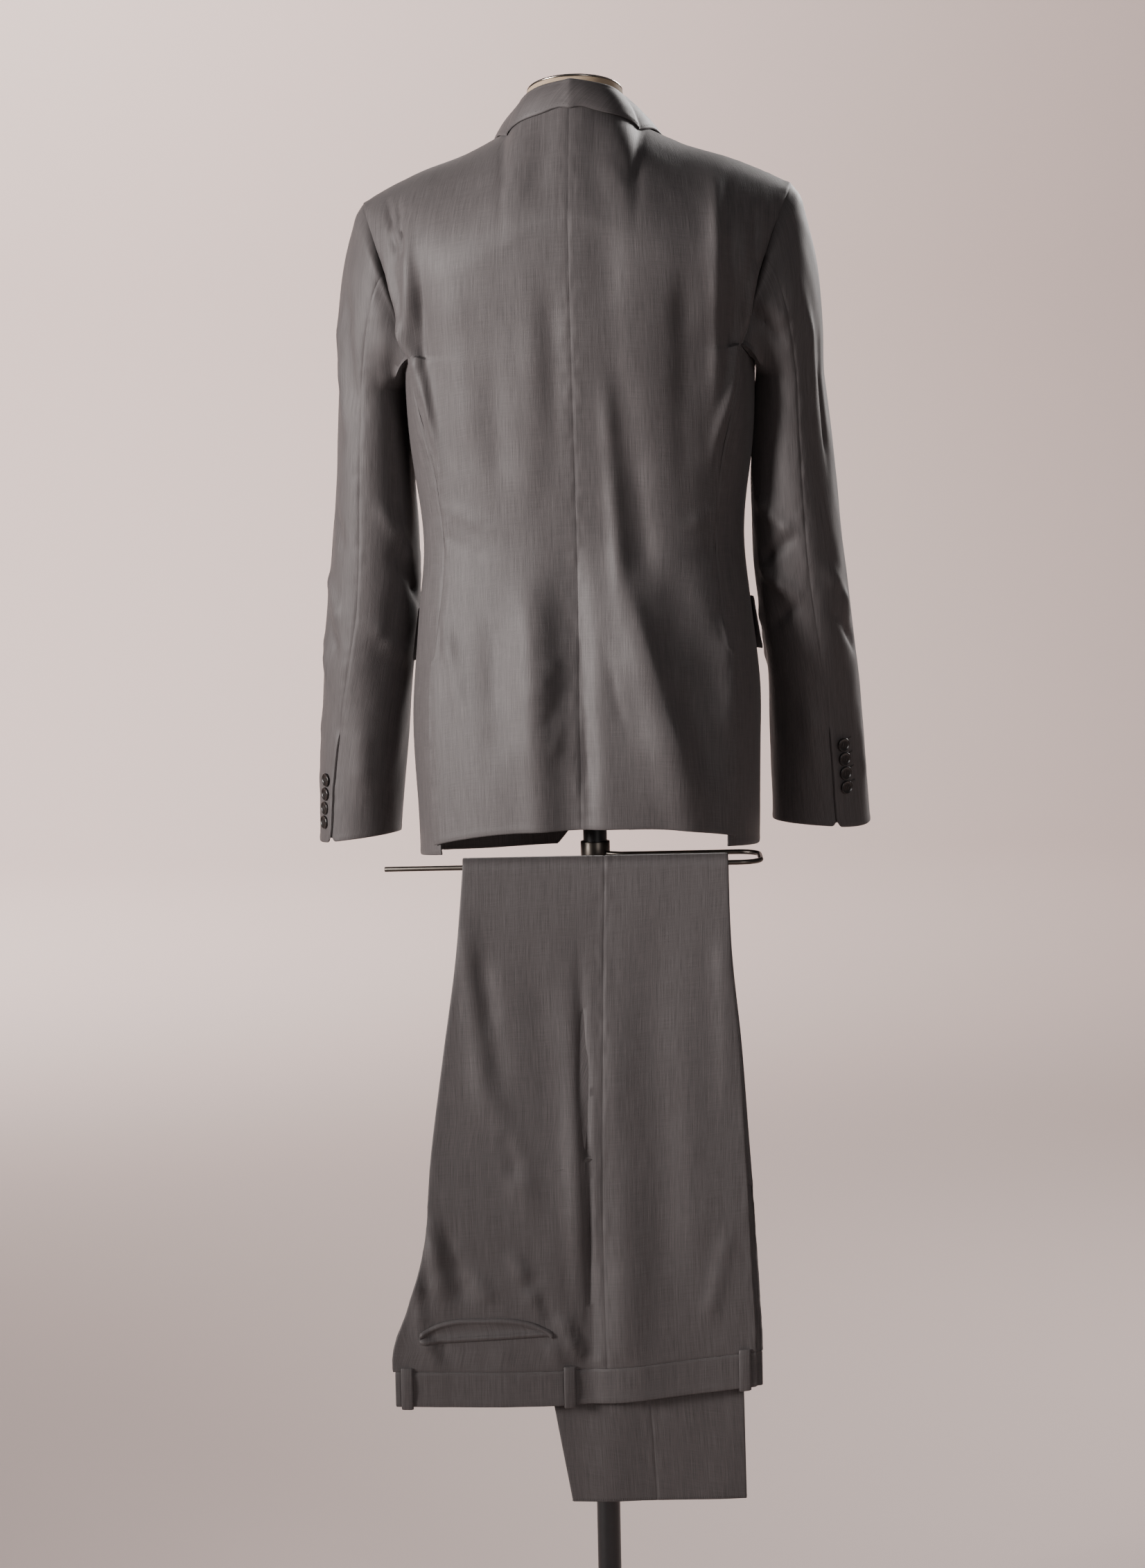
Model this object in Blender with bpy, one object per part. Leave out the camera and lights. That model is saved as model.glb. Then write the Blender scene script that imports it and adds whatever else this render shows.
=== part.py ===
"""A two-piece suit: the jacket on a limbless dress form, the trousers folded over a bar of its stand.

Metres, +Z up, +X towards the wearer's right, +Y towards the jacket's front. The origin is on the
floor, in the middle of the base's underside and on the pole's axis.
"""

import math
from collections import namedtuple

import bmesh
import bpy
from mathutils import Matrix, Vector

# Cloth walls and seams
WALL = 0.0020
TROUSER_WALL = 0.0012
SEAM = 0.00016
LAP = 0.0028

# How the jacket hangs on the form
YAW = math.radians(-4.0)
SHOULDER_TILT = 0.0206
JACKET_SHIFT = -0.005

# Jacket body
OVAL = 2.4
ARM_LEVEL = 1.360
UNDERARM_DIP = 0.015
TIP_X = 0.213
NECK_X = 0.064
NECK_DEPTH = 0.065
NECK_BACK_Z = 1.6110
NECK_SIDE_Z = 1.5803
CLOSE_RUN = 0.120
CROWN = 1.9
NECK_CROWN = 1.2
SIDE_BACK = 54.0
SIDE_BACK_TOP = 62.0
SIDE_FRONT = 116.0
DRAPE = 0.0055
DRAPE_ANGLE = 62.0
DRAPE_Z = 1.32
VENT_TOP = 1.105
VENT_LIFT = 0.0036
VENT_LAP_DEGREES = 2.5
BUTTON_Z = 1.135
BUTTON_PITCH = 0.105
FRONT_OVERLAP = 0.020
CUTAWAY = 0.062
CUTAWAY_TOP = 1.02
LAPEL_LOW = {-1: 1.145, 1: 1.245}
LAPEL_TOP = 1.490
GORGE_DROP = 0.030
LAPEL_WIDTH = 0.074
LAPEL_GAP = 0.0012

Section = namedtuple("Section", "at half_width back front")
SECTIONS = [
    Section(0.840, 0.1690, 0.127, 0.119),
    Section(0.900, 0.1715, 0.129, 0.119),
    Section(0.960, 0.1735, 0.129, 0.118),
    Section(1.020, 0.1735, 0.125, 0.116),
    Section(1.100, 0.1665, 0.112, 0.114),
    Section(1.170, 0.1600, 0.102, 0.114),
    Section(1.250, 0.1660, 0.109, 0.119),
    Section(1.320, 0.1690, 0.120, 0.124),
    Section(1.360, 0.1740, 0.126, 0.125),
    Section(1.425, 0.1960, 0.133, 0.122),
    Section(1.475, 0.2160, 0.134, 0.117),
    Section(1.520, 0.2330, 0.131, 0.113),
    Section(1.600, 0.2450, 0.126, 0.110),
]

Point = namedtuple("Point", "at height")
SHOULDER = [
    Point(0.064, 1.5803),
    Point(0.108, 1.5590),
    Point(0.150, 1.5450),
    Point(0.185, 1.5300),
    Point(0.214, 1.5150),
]
BACK_HEM = [Point(0, 0.894), Point(20, 0.892), Point(40, 0.885), Point(58, 0.876)]
SIDE_HEM = [Point(50, 0.869), Point(90, 0.861), Point(120, 0.855)]
FRONT_HEM = [Point(116, 0.8555), Point(150, 0.851), Point(190, 0.851)]
# The wearer's right front hangs a little shorter than the left one.
FRONT_LIFT = 0.012

Fold = namedtuple("Fold", "x_top z_top x_low z_low width depth fade_low")
BACK_FOLDS = [
    Fold(-0.012, 1.20, -0.006, 0.84, 0.020, -0.0060, 0),
    Fold(-0.046, 1.16, -0.040, 0.84, 0.017, 0.0040, 0),
    Fold(0.036, 1.20, 0.118, 0.86, 0.024, 0.0070, 0),
    Fold(0.086, 1.16, 0.140, 0.98, 0.018, -0.0035, 1),
    Fold(-0.168, 1.50, -0.150, 1.24, 0.010, 0.0045, 1),
    Fold(-0.146, 1.52, -0.138, 1.22, 0.012, -0.0030, 1),
    Fold(0.142, 1.56, 0.136, 1.26, 0.011, 0.0040, 1),
    Fold(0.166, 1.52, 0.152, 1.26, 0.010, -0.0030, 1),
]

FOLD_FADE = 0.3

# Columns and rows of the body's panels, as shares of each panel
BACK_COLUMNS = [0, 0.07, 0.145, 0.2307, 0.33, 0.43, 0.54, 0.66, 0.78, 0.89, 1]
SIDE_COLUMNS = [0, 0.25, 0.5, 0.75, 1]
FRONT_COLUMNS = [0, 0.17, 0.34, 0.51, 0.68, 0.84, 1]
BODY_ROWS = [0, 0.10, 0.20, 0.30, 0.40, 0.50, 0.60, 0.70, 0.80, 0.90, 1]
ARM_ROWS = [1, 0.95, 0.84, 0.68, 0.5, 0.25, 0]

# Sleeves: the ring has 16 places, from the shoulder tip round the back and under the arm
RING = 16
SEAM_GAP_AT_ARM = 0.0004
SLEEVE_SEAMS = (4, 12)
RING_ANGLES = [Point(0, 0), Point(4, 78), Point(8, 180), Point(12, 258), Point(16, 360)]
CAP_ROWS = [0, 0.08, 0.2, 0.38, 0.6, 0.8]
CAP_LEVEL = 1.330
ARM_FALL = [1.33, 1.27, 1.205, 1.15, 1.10, 1.045, 0.98, 0.92, 0.872]
Arm = namedtuple("Arm", "at outer inner_left inner_right middle depth")
ARMS = [
    Arm(1.380, 0.2390, 0.1790, 0.1790, 0.008, 0.064),
    Arm(1.330, 0.2425, 0.1750, 0.1750, 0.016, 0.066),
    Arm(1.270, 0.2480, 0.1725, 0.1720, 0.020, 0.064),
    Arm(1.150, 0.2600, 0.1705, 0.1690, 0.028, 0.060),
    Arm(1.060, 0.2685, 0.1790, 0.1790, 0.037, 0.056),
    Arm(0.985, 0.2740, 0.1860, 0.1840, 0.048, 0.053),
    Arm(0.910, 0.2790, 0.1950, 0.1840, 0.056, 0.049),
    Arm(0.860, 0.2830, 0.2010, 0.1840, 0.060, 0.047),
]
CUFF_TWIST = {-1: 25.0, 1: 7.0}
TWIST_FROM = 1.12
CUFF_TILT = 0.006

# Collar: what each place round the neck has as its fold, its edge on the body and its seam
Neck = namedtuple("Neck", "at fold_x fold_y fold_z edge_x edge_y seam_x seam_y seam_z")
NECK_LINE = [
    Neck(0.00, 0.0000, -0.0690, 1.6225, 0.0000, -0.0780, 0.0000, -0.0650, 1.6125),
    Neck(0.27, 0.0330, -0.0560, 1.6155, 0.0430, -0.0660, 0.0300, -0.0565, 1.6062),
    Neck(0.52, 0.0485, -0.0330, 1.6060, 0.0680, -0.0320, 0.0510, -0.0365, 1.5936),
    Neck(0.70, 0.0570, 0.0020, 1.5950, 0.0800, 0.0100, 0.0585, 0.0020, 1.5835),
    Neck(0.86, 0.0565, 0.0605, 1.5675, 0.0930, 0.0520, 0.0525, 0.0530, 1.5580),
    Neck(1.00, 0.0500, 0.0985, 1.5310, 0.1050, 0.0870, 0.0460, 0.0890, 1.5220),
]
COLLAR_BOW = 0.0035
COLLAR_TURN = 0.0026
HALVINGS = 30

# Trousers: layers lie at these distances out from the bar's surface
LAYERS = {"right_out": 0.0009, "right_in": 0.0027, "left_in": 0.0050, "left_out": 0.0068}
MIDDLE_LAYER = 0.00385
ROD_RADIUS = 0.0025
BAR_Z = 0.8550
BAR_Y = -0.0990
BAR_GAP = 0.0003
Drop = namedtuple("Drop", "at back seam front")
NEAR_EDGES = [
    Drop(0.000, -0.1310, 0.0087, 0.1305),
    Drop(0.090, -0.1400, 0.0060, 0.1320),
    Drop(0.185, -0.1545, 0.0034, 0.1385),
    Drop(0.285, -0.1690, 0.0010, 0.1425),
    Drop(0.380, -0.1790, 0.0000, 0.1465),
    Drop(0.440, -0.1960, 0.0005, 0.1490),
    Drop(0.490, -0.2130, 0.0010, 0.1510),
    Drop(0.550, -0.2100, 0.0020, 0.1500),
]
FAR_EDGES = [
    Drop(0.000, -0.1310, 0.0087, 0.1305),
    Drop(0.200, -0.1080, 0.0180, 0.1330),
    Drop(0.400, -0.0760, 0.0330, 0.1360),
    Drop(0.560, -0.0500, 0.0450, 0.1380),
    Drop(0.660, -0.0330, 0.0500, 0.1390),
]
WAIST_DROP = [Point(-0.22, 0.506), Point(-0.10, 0.5085), Point(0.0, 0.5070), Point(0.16, 0.4915)]
WAISTBAND = 0.0345
HEM_DROP = {"left": 0.632, "right": 0.646}
CROTCH_DROP = 0.285
FORK_RUN = 0.075
FORK_SPREAD = 0.617
FORK_GAP = 0.00028
NEAR_ROWS = [1, 0.88, 0.75, 0.62, 0.52, 0.42, 0.30, 0.16, 0.02]
BAR_ROWS = [0, 0.25, 0.5, 0.75, 1]
FAR_ROWS = [0.02, 0.18, 0.38, 0.58, 0.79, 1]
PANEL_COLUMNS = [0, 0.11, 0.24, 0.6, 1, 1.5, 2, 2.4, 2.76, 2.89, 3]
TROUSER_FOLDS = [
    Fold(-0.024, 0.34, -0.016, 0.60, 0.018, -0.0050, 0),
    Fold(0.032, 0.34, 0.028, 0.60, 0.024, 0.0030, 0),
]
BAND_COLUMNS = [0, 0.15, 0.3, 0.42, 0.49, 0.54, 0.59, 0.66, 0.74, 0.87, 1]
LOOP_WIDTH = 0.0107
LOOP_WALL = 0.0014
LOOP_STAND = 0.0013
LOOP_BULGE = 0.0012
JET_WALL = 0.0012
JET_MIDDLE = -0.119
JET_HALF_LENGTH = 0.066
JET_DROP = 0.463
JET_HALF_HEIGHT = 0.0075
JET_POINTS = 24
LOOPS = {
    "belt_loop_back": ("left", -0.1990),
    "belt_loop_side_left": ("left", -0.0360),
    "belt_loop_front_left": ("left", 0.1390),
    "belt_loop_side_right": ("right", -0.0360),
    "belt_loop_front_right": ("right", 0.1390),
}

# Hip flaps: angles round the body, top, height and how far the flap stands off
FLAP_START = 92.0
FLAP_SPAN = 44.0
FLAP_TOP = 1.108
FLAP_HEIGHT = 0.052
FLAP_FALL = 0.004
FLAP_OFF = 0.0008
FLAP_FLARE = 0.0025

# Buttons
FRONT_BUTTON = 0.0100
FRONT_BUTTON_TOP = 1.123
FRONT_BUTTON_STAND = 0.0004
CUFF_BUTTON_STAND = 0.0006
CUFF_BUTTON = 0.0069
CUFF_BUTTON_PITCH = 0.0146
CUFF_BUTTON_TOP = {-1: 0.937, 1: 0.957}
CUFF_BUTTON_ANGLE = {-1: 39.0, 1: 57.0}

# Stand
POLE_RADIUS = 0.0120
BASE_RADIUS = 0.150
BASE_HEIGHT = 0.016
FORM_BOTTOM = 0.962
FORM_PLATE = 0.008
BAR_COLLAR_RADIUS = 0.0148
BAR_COLLAR_LOW = 0.8440
BAR_COLLAR_HIGH = 0.8670
STAND_GAP = 0.0003
ARM_Y = -0.0180
BAR_RIGHT = 0.1642
BAR_CORNER = 0.022
BAR_LEFT = -0.2088
CAP_TILT = math.radians(17.0)
Form = namedtuple("Form", "at half_width back front tilt")
FORM_SECTIONS = [
    Form(0.9620, 0.120, 0.088, 0.084, 0),
    Form(0.9700, 0.128, 0.094, 0.090, 0),
    Form(1.0200, 0.134, 0.098, 0.093, 0),
    Form(1.1000, 0.128, 0.088, 0.090, 0),
    Form(1.1700, 0.122, 0.080, 0.089, 0),
    Form(1.2500, 0.134, 0.088, 0.096, 0),
    Form(1.3300, 0.146, 0.100, 0.103, 0),
    Form(1.4000, 0.157, 0.106, 0.099, 0),
    Form(1.4600, 0.172, 0.104, 0.088, 0),
    Form(1.4950, 0.183, 0.090, 0.072, 0),
    Form(1.5140, 0.1865, 0.072, 0.056, 0),
    Form(1.5271, 0.1820, 0.044, 0.037, 0),
    Form(1.5419, 0.1500, 0.041, 0.034, 0),
    Form(1.5561, 0.1080, 0.041, 0.034, 0),
    Form(1.5645, 0.0860, 0.043, 0.034, 0),
    Form(1.5722, 0.0605, 0.043, 0.034, 0.1),
    Form(1.5880, 0.051, 0.050, 0.040, 0.5),
    Form(1.6130, 0.0475, 0.050, 0.042, 1),
]
FORM_SIDES = 28

Finish = namedtuple("Finish", "colour roughness metallic")
FINISHES = {
    "worsted": Finish((0.120, 0.108, 0.103), 0.62, 0.0),
    "button_horn": Finish((0.012, 0.009, 0.008), 0.30, 0.0),
    "form_cloth": Finish((0.520, 0.430, 0.330), 0.85, 0.0),
    "cap_metal": Finish((0.420, 0.400, 0.380), 0.28, 1.0),
    "gunmetal": Finish((0.150, 0.135, 0.120), 0.32, 1.0),
    "screw_steel": Finish((0.600, 0.590, 0.570), 0.25, 1.0),
    "black_satin": Finish((0.012, 0.012, 0.013), 0.38, 0.0),
}


def smooth(x):
    """An S-shaped step from 0 to 1."""
    x = min(1.0, max(0.0, x))
    return x * x * (3 - 2 * x)


def curve(rows, at, column):
    """A column's value at a place along a short table, on a smooth curve through its rows."""
    places = [row.at for row in rows]
    values = [getattr(row, column) for row in rows]
    if at <= places[0]:
        return values[0]
    if at >= places[-1]:
        return values[-1]
    i = max(k for k in range(len(rows) - 1) if places[k] <= at)
    step = places[i + 1] - places[i]
    t = (at - places[i]) / step

    def slope(k):
        low, high = max(k - 1, 0), min(k + 1, len(rows) - 1)
        return (values[high] - values[low]) / (places[high] - places[low])

    a, b = values[i], values[i + 1]
    m, n = slope(i) * step, slope(i + 1) * step
    return (a * (2 * t**3 - 3 * t**2 + 1) + m * (t**3 - 2 * t**2 + t)
            + b * (3 * t**2 - 2 * t**3) + n * (t**3 - t**2))


def power(x, exponent):
    """A power that keeps its base's sign."""
    return math.copysign(abs(x) ** exponent, x)


def fold_depth(folds, x, z):
    """How far the folds push the cloth out at a place, in metres."""
    total = 0.0
    for fold in folds:
        t = (z - fold.z_top) / (fold.z_low - fold.z_top)
        if 0 < t < 1:
            middle = fold.x_top + (fold.x_low - fold.x_top) * t
            ends = smooth(t / FOLD_FADE)
            if fold.fade_low:
                ends *= smooth((1 - t) / FOLD_FADE)
            total += fold.depth * ends * math.exp(-(((x - middle) / fold.width) ** 2))
    return total


# Surfaces of the jacket's body, for the wearer's right half: x is positive

def hang(point):
    """Carries a point from the jacket's own frame to its place on the form."""
    x, y, z = point
    c, s = math.cos(YAW), math.sin(YAW)
    return Vector((c * x - s * y + JACKET_SHIFT, s * x + c * y, z + SHOULDER_TILT * x))


def shoulder_height(x):
    """Height of the neckline and the shoulder seam over a distance from the centre."""
    x = abs(x)
    if x < NECK_X:
        return NECK_SIDE_Z + (NECK_BACK_Z - NECK_SIDE_Z) * (1 - (x / NECK_X) ** 2)
    return curve(SHOULDER, x, "height")


def oval(angle, z):
    """The body's outline at a height: 0 degrees is the centre back, 180 the centre front."""
    half = curve(SECTIONS, z, "half_width")
    depth = curve(SECTIONS, z, "back" if math.cos(math.radians(angle)) > 0 else "front")
    x = half * power(math.sin(math.radians(angle)), 2 / OVAL)
    x += DRAPE * math.exp(-(((angle - DRAPE_ANGLE) / 15) ** 2) - ((z - DRAPE_Z) / 0.07) ** 2)
    y = -depth * power(math.cos(math.radians(angle)), 2 / OVAL)
    return x, y


def depth_at(x, z, side):
    """The y of the body's surface over a place of the back or front view."""
    half = curve(SECTIONS, z, "half_width")
    full = curve(SECTIONS, z, side) * max(0.0, 1 - (abs(x) / half) ** OVAL) ** (1 / OVAL)
    top = shoulder_height(x)
    rise = min(1.0, max(0.0, (z - (top - CLOSE_RUN)) / CLOSE_RUN))
    near_neck = 1 - smooth((abs(x) - 0.3 * NECK_X) / (0.9 * NECK_X)) if side == "back" else 0.0
    crown = CROWN + (NECK_CROWN - CROWN) * near_neck
    ridge = NECK_DEPTH * math.sqrt(max(0.0, 1 - (x / NECK_X) ** 2)) if side == "back" else 0.0
    value = ridge + (full - ridge) * (1 - rise**crown) ** (1 / crown)
    return -value if side == "back" else value


def height_over(x, y):
    """Height of the body's surface over a place of the top view, near the neck."""
    side = "back" if y < 0 else "front"
    high = shoulder_height(max(abs(x), NECK_X) if y > 0 else x)
    low = high - CLOSE_RUN
    for _ in range(HALVINGS):
        middle = (low + high) / 2
        if abs(depth_at(x, middle, side)) > abs(y):
            low = middle
        else:
            high = middle
    return (low + high) / 2


def laid(x, y, out):
    """A point laid on the body near the neck, this far out from its surface."""
    e = 1e-4
    across = height_over(x - e, y) - height_over(x + e, y)
    along = height_over(x, y - e) - height_over(x, y + e)
    normal = Vector((across, along, 2 * e)).normalized()
    return Vector((x, y, height_over(x, y))) + normal * out


def side_back(z):
    """Angle of the side-back seam at a height."""
    return SIDE_BACK + (SIDE_BACK_TOP - SIDE_BACK) * smooth((z - 1.24) / (ARM_LEVEL - 1.24))


def vent_lift(z):
    """How far the back's edge stands over the side panel below the top of the vent."""
    return VENT_LIFT * smooth((VENT_TOP - z) / 0.05)


def arm_edge(w, side):
    """Distance from the centre of the armhole's edge, from the underarm level up."""
    start = oval(SIDE_BACK_TOP if side == "back" else SIDE_FRONT, ARM_LEVEL)[0]
    hollow = 0.012 * math.sin(math.pi * w) if side == "front" else 0.0
    return start + (TIP_X - start) * w - hollow


def back_point(side, u, v):
    """The back: u from the centre seam to the side, v from the hem (0) to the shoulder (2)."""
    if v <= 1:
        z = ARM_LEVEL * v + (1 - v) * curve(BACK_HEM, u * SIDE_BACK, "height")
        lift = vent_lift(z)
        lap = VENT_LAP_DEGREES * smooth((lift - 0.9 * VENT_LIFT) / (0.1 * VENT_LIFT))
        angle = u * (side_back(z) + lap)
        x, y = oval(angle, z)
        out = lift * smooth((angle - side_back(z) + 14) / 14)
        x, y = x + out * 0.75, y - out * 0.65
    else:
        edge = arm_edge(v - 1, "back")
        share = power(math.sin(math.radians(u * SIDE_BACK_TOP))
                      / math.sin(math.radians(SIDE_BACK_TOP)), 2 / OVAL)
        x = share * edge
        z = ARM_LEVEL + (v - 1) * (shoulder_height(x) - ARM_LEVEL)
        y = depth_at(x, z, "back")
    keep = smooth((2 - v) / 0.25)
    return hang((side * x, y - keep * fold_depth(BACK_FOLDS, side * x, z), z))


def side_point(side, u, v):
    """The side panel: u from its back seam to its front seam, v from the hem to the armhole."""
    top = ARM_LEVEL - UNDERARM_DIP * 4 * u * (1 - u)
    low = curve(SIDE_HEM, SIDE_BACK + u * (SIDE_FRONT - SIDE_BACK), "height")
    z = low + (top - low) * v
    start = side_back(z)
    x, y = oval(start + u * (SIDE_FRONT - start), z)
    keep = (1 - u) ** 2
    return hang((side * x, y - keep * fold_depth(BACK_FOLDS, side * x, z), z))


def front_edge(z):
    """Distance from the centre of the front's edge: cut away, straight, then the lapel's roll."""
    if z < CUTAWAY_TOP:
        share = (CUTAWAY_TOP - z) / (CUTAWAY_TOP - FRONT_HEM[-1].height)
        return -FRONT_OVERLAP + CUTAWAY * share**2.4
    rise = max(0.0, (z - BUTTON_Z) / (NECK_SIDE_Z - BUTTON_Z))
    return -FRONT_OVERLAP + (NECK_X + FRONT_OVERLAP) * rise


def edge_angle(z):
    """Angle of the front's edge at a height."""
    share = front_edge(z) / curve(SECTIONS, z, "half_width")
    return 180 - math.degrees(math.asin(power(share, OVAL / 2)))


def tucked(side, x, y):
    """The right front lies under the left one where they overlap."""
    return y - (LAP * smooth((0.050 - x) / 0.022) if side > 0 else 0.0)


def front_point(side, u, v):
    """The front: u from its side seam and armhole to its edge, v from the hem to the shoulder."""
    if v <= 1:
        low = curve(FRONT_HEM, SIDE_FRONT + u * (180 - SIDE_FRONT), "height")
        low += FRONT_LIFT * smooth(3 * u) * (side > 0)
        z = low + (ARM_LEVEL - low) * v
        angle = SIDE_FRONT + u * (edge_angle(z) - SIDE_FRONT)
        x, y = oval(angle, z)
    else:
        w = v - 1
        angle = SIDE_FRONT + u * (edge_angle(ARM_LEVEL) - SIDE_FRONT)
        first = oval(SIDE_FRONT, ARM_LEVEL)[0]
        last = front_edge(ARM_LEVEL)
        share = (first - oval(angle, ARM_LEVEL)[0]) / (first - last)
        outer = arm_edge(w, "front")
        x = outer + share * (last + (NECK_X - last) * w - outer)
        z = ARM_LEVEL + w * (shoulder_height(max(x, NECK_X)) - ARM_LEVEL)
        y = depth_at(x, z, "front")
    return hang((side * x, tucked(side, x, y), z))


def slopes(surface, u, v):
    """Unit directions along u and v, and the normal across them, at a place on a surface."""
    e = 1e-4
    along_u = (surface(u + e, v) - surface(u - e, v)).normalized()
    along_v = (surface(u, v + e) - surface(u, v - e)).normalized()
    return along_u, along_v, along_u.cross(along_v).normalized()


def on_surface(surface, u, v, out):
    """A point moved out from a surface, and the way out, for what is sewn or laid on it."""
    normal = slopes(surface, u, v)[2]
    point = surface(u, v)
    if normal.dot(point - Vector((0, 0, point.z))) < 0:
        normal = -normal
    return point + normal * out, normal


# Sleeves

def armhole(side, i):
    """The body's edge at a place of the ring: the point, the way out of the panel, the normal."""
    i = i % RING
    if i <= 6:
        v = 1 + curve([Point(k, w) for k, w in enumerate(ARM_ROWS)], i, "height")
        surface, u, way = (lambda a, b: back_point(side, a, b)), 1.0, 1
    elif i < 10:
        surface, u, v, way = (lambda a, b: side_point(side, a, b)), (i - 6) / 4, 1.0, 0
    else:
        v = 1 + curve([Point(k, w) for k, w in enumerate(ARM_ROWS)], RING - i, "height")
        surface, u, way = (lambda a, b: front_point(side, a, b)), 0.0, -1
    e = 1e-4
    v_in = min(v, 2 - 2 * e)
    along_u = (surface(u + e, v_in) - surface(u - e, v_in)).normalized()
    along_v = (surface(u, v_in + e) - surface(u, v_in - e)).normalized()
    normal = along_u.cross(along_v).normalized()
    out = along_v if way == 0 else along_u * way
    out = (out - normal * out.dot(normal)).normalized()
    if way:
        edge = along_v
        out = (out - edge * out.dot(edge)).normalized()
    return surface(u, v), out, normal


def arm_ring(side, i, z):
    """A point of the sleeve's level ring at a height."""
    inner = curve(ARMS[::-1], z, "inner_right" if side > 0 else "inner_left")
    outer = curve(ARMS[::-1], z, "outer")
    turns, place = divmod(i, RING)
    angle = curve(RING_ANGLES, place, "height") + 360 * turns
    angle = math.radians(angle - CUFF_TWIST[side] * smooth((TWIST_FROM - z) / 0.2))
    across = (outer + inner) / 2 + (outer - inner) / 2 * math.cos(angle)
    deep = curve(ARMS[::-1], z, "middle") - curve(ARMS[::-1], z, "depth") * math.sin(angle)
    return Vector((side * across, deep, z))


def sleeve_point(side, i, k):
    """The sleeve: i round its ring, k from the armhole (0) over the cap (1) to the cuff (2)."""
    if k > 1:
        z = CAP_LEVEL + (ARM_FALL[-1] - CAP_LEVEL) * (k - 1)
        point = arm_ring(side, i, z)
        tilt = CUFF_TILT * smooth(k - 1) * math.cos(2 * math.pi * i / RING)
        return hang((point.x, point.y, point.z - tilt))
    edge, out, normal = armhole(side, i)
    low = hang(arm_ring(side, i, CAP_LEVEL))
    around = 2 * math.pi * i / RING
    top = (1 + math.cos(around)) / 2
    under = math.sin(math.radians(90 * (1 - top) ** 1.5))
    start = edge + out * (SEAM_GAP_AT_ARM + under * WALL / 2)
    pull = start + (low - start) * (0.02 + 0.30 * top)
    pull += Vector((side * (0.006 + 0.016 * top), -0.012 * math.sin(around), 0.004 * (1 - top)))
    return start * (1 - k) ** 2 + pull * (2 * k * (1 - k)) + low * k**2


def sleeve_start_normal(side, i):
    """The way across the cloth at the sleeve's seam, square to the seam's gap."""
    edge, out, normal = armhole(side, i)
    top = (1 + math.cos(2 * math.pi * i / RING)) / 2
    turn = math.radians(90 * (1 - top) ** 1.5)
    away = normal if normal.dot(edge - Vector((0, 0, edge.z))) > 0 else -normal
    return (away * math.cos(turn) - out * math.sin(turn)).normalized()


# Trousers: x across, a drop below the bar on the near or far side, and a layer out from the bar

def drape(x, t, near_drop, far_drop, layer):
    """A place on the draped stack: t from the near end (-1) to the bar (0 to 1) and far end (2)."""
    radius = ROD_RADIUS + BAR_GAP + layer
    if t < 0:
        drop = -t * near_drop
        push = fold_depth(TROUSER_FOLDS, x, drop)
        return Vector((x, BAR_Y - radius - push, BAR_Z - drop))
    if t > 1:
        return Vector((x, BAR_Y + radius, BAR_Z - (t - 1) * far_drop))
    angle = math.pi * t
    return Vector((x, BAR_Y - radius * math.cos(angle), BAR_Z + radius * math.sin(angle)))


def leg_point(leg, half, w, t):
    """A leg's panel: w from the outseam (0) to the crease (1 to 2) and the inseam (3)."""
    drop = -t if t < 0 else max(0.0, t - 1)
    near_scale = WAIST_DROP[2].height
    place = drop * (near_scale if t < 0 else HEM_DROP[leg])
    edges = NEAR_EDGES if t < 0.5 else FAR_EDGES
    edge = curve(edges, place, half)
    seam = curve(edges, place, "seam")
    way = -1 if half == "back" else 1
    outer, inner = LAYERS[leg + "_out"], LAYERS[leg + "_in"]
    if leg == "right" and half == "front" and t < 0.5:
        edge += 0.006 * smooth(place / 0.45)
    fork = smooth((place - CROTCH_DROP) / FORK_RUN) if t < 0 else 0.0
    close = smooth((place - CROTCH_DROP - FORK_RUN) / (0.6 * FORK_RUN)) if t < 0 else 0.0
    if w > 1:
        share = (w - 1) / 2
        even = 1 - (1 - share) ** FORK_SPREAD
        w = 1 + 2 * share * (1 - fork) + 0.5 * even * fork
    gap = FORK_GAP if leg == "left" else -FORK_GAP
    inner += (2 * (MIDDLE_LAYER + gap) - outer - inner) * close
    thin = 1 - 0.42 * close
    outer = MIDDLE_LAYER + (outer - MIDDLE_LAYER) * thin
    inner = MIDDLE_LAYER + (inner - MIDDLE_LAYER) * thin
    turn = abs(outer - inner) / 2
    bend = edge - way * turn
    if w <= 1:
        x, layer = seam + (bend - seam) * w, outer
    elif w <= 2:
        angle = math.pi * (w - 1)
        x = bend + way * turn * math.sin(angle)
        layer = (outer + inner) / 2 + (outer - inner) / 2 * math.cos(angle)
    else:
        x, layer = bend + (seam + way * SEAM - bend) * (w - 2), inner
    near_drop = curve(WAIST_DROP, x, "height")
    return drape(x, t, near_drop, HEM_DROP[leg], layer)


def band_point(leg, u, v):
    """The waistband: u across from the back edge (0) to the front edge (1), v down its height."""
    layer = MIDDLE_LAYER + (LAYERS[leg + "_out"] - MIDDLE_LAYER) * 0.62
    extra = 0.006 if leg == "right" else 0.0
    waist = NEAR_EDGES[-2]
    x = waist.back + 0.003 + u * (waist.front + extra - waist.back - 0.004)
    top = curve(WAIST_DROP, x, "height")
    drop = top + 0.0003 + v * WAISTBAND
    radius = ROD_RADIUS + BAR_GAP + layer
    push = fold_depth(TROUSER_FOLDS, x, top)
    return Vector((x, BAR_Y - radius - push, BAR_Z - drop))


# Building

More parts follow.
